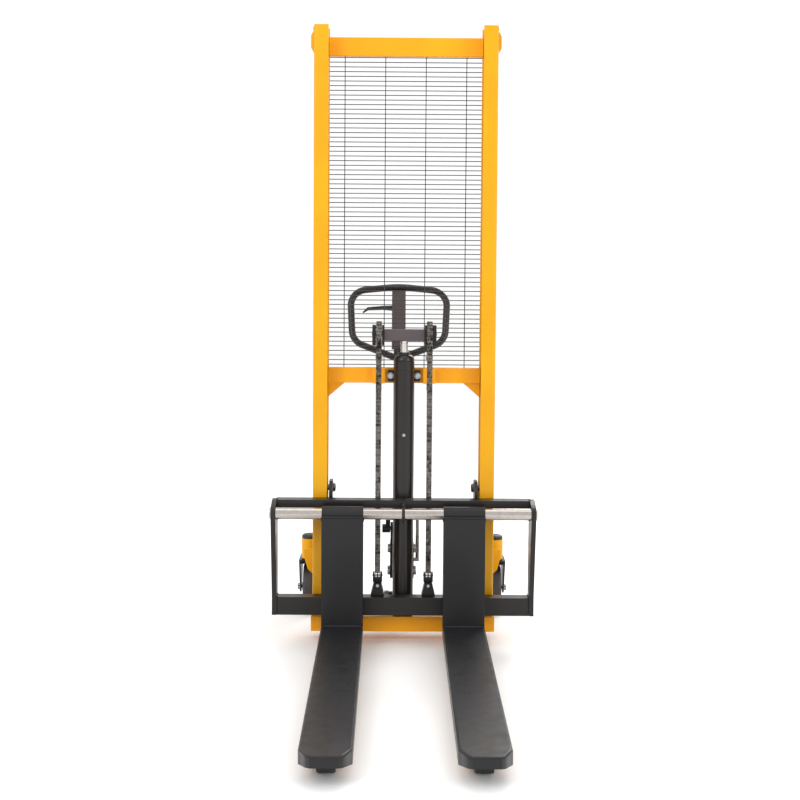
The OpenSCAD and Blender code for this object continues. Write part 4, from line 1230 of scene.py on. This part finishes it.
class StackerHandle(StackerPiece, bpy.types.Operator):
    """Builds the handle arm, its bent tube loop, the plate, the release lever and rod"""

    bl_idname = "stacker.handle"
    bl_label = "Handle"

    def execute(self, context):
        black = "black_paint"
        fit(rounded_copy("handle_arm", "handle_arm_finished", 1.6, 2), "handle", black,
            "sprayed_enamel_carriage_black", "handle_arm")
        arm_end = LOOP_TOP - 236
        half = [(13, arm_end - 30), (LOOP_SIDE - 8, LOOP_TOP - 206), (LOOP_SIDE + 2, LOOP_TOP - 18)]
        path = half + [(0, LOOP_TOP)] + [(-x, s) for x, s in reversed(half)]
        line = [handle_place(p.x, p.y, 0) for p in bend(path, (62, 58, 400, 58, 62))]
        loop = tube("handle_loop_tube", line, LOOP_TUBE, sides=7)
        fit(loop, "handle", black, "enamelled_tube_black", "handle_loop")
        web = rounded_copy("handle_plate", "handle_web_plate", 0.8)
        fit(web, "handle", "plum_paint", "matt_enamel_plum_grey", "handle_plate")
        # weld collars where the loop meets the arm and the plate
        beads = [weld(handle_place(-24, LOOP_TOP - 15, -2), handle_place(24, LOOP_TOP - 15, -2), 2.6),
                 weld(handle_place(-24, LOOP_TOP - 15, 2), handle_place(24, LOOP_TOP - 15, 2), 2.6),
                 weld(handle_place(-17, arm_end, 2.4), handle_place(17, arm_end, 2.4), 2.6)]
        fit(join("handle_weld_beads", beads), "handle", black, "enamelled_tube_black")
        lever = rounded_copy("release_lever", "release_lever_pressed", 1.6, 3)
        fit(lever, "release_lever", black, "moulded_abs_black", "release_lever")

        rod = rounded_copy("release_rod", "release_rod_turned", 0.9)
        fit(rod, "release_rod", "bright_steel", "zinc_plated_steel", "release_rod")
        return {"FINISHED"}


class StackerPedal(StackerPiece, bpy.types.Operator):
    """Builds the foot pedal with its ribbed rubber pad"""

    bl_idname = "stacker.pedal"
    bl_label = "Foot pedal"

    def execute(self, context):
        pedal = rounded_copy("foot_pedal", "foot_pedal_finished", 1.8, 2)
        fit(pedal, "foot_pedal", "black_paint", "sprayed_enamel_carriage_black", "foot_pedal")
        high = node_box("foot_pedal")[1]
        pads = []
        for i in range(7):
            y = high.y - 78 + 11 * i
            z = high.z - 8 + 8 * (i + 0.6) / 7.6
            pads.append(block("rib", (high.x - 62, y, z - 2.4), (high.x - 4, y + 6, z - 0.4), 0.9))
        fit(join("foot_pedal_pad", pads), "foot_pedal", "black_nylon", "moulded_rubber_black")
        return {"FINISHED"}


# ---- studio ----


class StackerStage(StackerPiece, bpy.types.Operator):
    """Lays the floor and sets the soft studio lights and the camera"""

    bl_idname = "stacker.stage"
    bl_label = "Studio"

    def execute(self, context):
        scene = context.scene
        tree, principled, coords = start_material("sealed_studio_floor", linear("#fdfdfd"), Roughness=0.6)
        drift = between(tree, noise(tree, coords, 900, 2), 0.3, 0.7, 0, 1)
        tree.links.new(blend_colours(tree, drift, linear("#fdfdfd"), linear("#fbfbfa")),
                       principled.inputs["Base Color"])
        only()
        bpy.ops.mesh.primitive_plane_add(size=60, location=(0, 0, 0))
        floor = bpy.context.active_object
        floor.name = floor.data.name = "studio_floor"
        floor.data.materials.append(materials["sealed_studio_floor"])

        world = bpy.data.worlds.new("studio_air")
        scene.world = world
        world.use_nodes = True
        world.node_tree.nodes["Background"].inputs["Color"].default_value = linear("#ffffff")
        world.node_tree.nodes["Background"].inputs["Strength"].default_value = 1.04
        scene.view_settings.view_transform = "Standard"

        def lamp(name, place, target, width, height, power):
            """A soft box lamp that faces target."""
            only()
            bpy.ops.object.light_add(type="AREA", location=place)
            light = bpy.context.active_object
            light.name = name
            light.data.shape = "RECTANGLE"
            light.data.size, light.data.size_y = width, height
            light.data.energy = power
            light.rotation_euler = (Vector(target) - Vector(place)).to_track_quat("-Z", "Y").to_euler()

        lamp("key_box", (-2.6, -3.4, 3.4), (0, 0.3, 0.9), 1.6, 2.4, 70)
        lamp("fill_box", (3.2, -2.6, 2.2), (0, 0.3, 0.8), 1.6, 2.4, 40)
        lamp("rim_box", (1.6, 3.6, 2.9), (0, 0.3, 1.0), 2.0, 2.0, 60)
        lamp("top_box", (0, 0, 4.2), (0, 0.3, 0), 2.4, 2.4, 20)

        camera_data = bpy.data.cameras.new("studio_camera")
        camera = bpy.data.objects.new("studio_camera", camera_data)
        scene.collection.objects.link(camera)
        yaw, pitch, roll = 0.004812, 0.0583666, -0.0067358
        ahead = Vector((math.sin(yaw) * math.cos(pitch), math.cos(yaw) * math.cos(pitch), -math.sin(pitch)))
        right = Vector((math.cos(yaw), -math.sin(yaw), 0))
        down = ahead.cross(right)
        across = right * math.cos(roll) + down * math.sin(roll)
        drop = down * math.cos(roll) - right * math.sin(roll)
        turn = Matrix((across, -drop, -ahead)).transposed()
        camera.matrix_world = Matrix.Translation((-0.03716, FRONT - 4.55122, 1.34565)) @ turn.to_4x4()
        camera_data.sensor_width = 36
        camera_data.lens = 61.0  # millimetres
        camera_data.shift_y = -0.09346
        scene.camera = camera
        return {"FINISHED"}


PIECES = (
    StackerMaterials, StackerMast, StackerGuard, StackerBase, StackerFrontRollers, StackerCasters,
    StackerCylinder, StackerPump, StackerChains, StackerLift, StackerCarriage, StackerForks,
    StackerHandle, StackerPedal, StackerStage,
)


class StackerPanel(bpy.types.Panel):
    """Lists the stacker's pieces in the sidebar"""

    bl_idname = "VIEW3D_PT_stacker"
    bl_label = "Walkie stacker"
    bl_space_type = "VIEW_3D"
    bl_region_type = "UI"
    bl_category = "Stacker"

    def draw(self, context):
        for piece in PIECES:
            self.layout.operator(piece.bl_idname)
        for group in (context.scene.stacker_sizes, context.scene.stacker_colours):
            column = self.layout.column()
            for name in group.__annotations__:
                column.prop(group, name)


CLASSES = (StackerSizes, StackerColours, *PIECES, StackerPanel)


def register():
    for cls in CLASSES:
        bpy.utils.register_class(cls)
    bpy.types.Scene.stacker_sizes = bpy.props.PointerProperty(type=StackerSizes)
    bpy.types.Scene.stacker_colours = bpy.props.PointerProperty(type=StackerColours)


def unregister():
    del bpy.types.Scene.stacker_sizes
    del bpy.types.Scene.stacker_colours
    for cls in reversed(CLASSES):
        bpy.utils.unregister_class(cls)


def main():
    register()
    for piece in PIECES:
        group, name = piece.bl_idname.split(".")
        getattr(getattr(bpy.ops, group), name)()
    only()


if __name__ == "__main__":
    main()
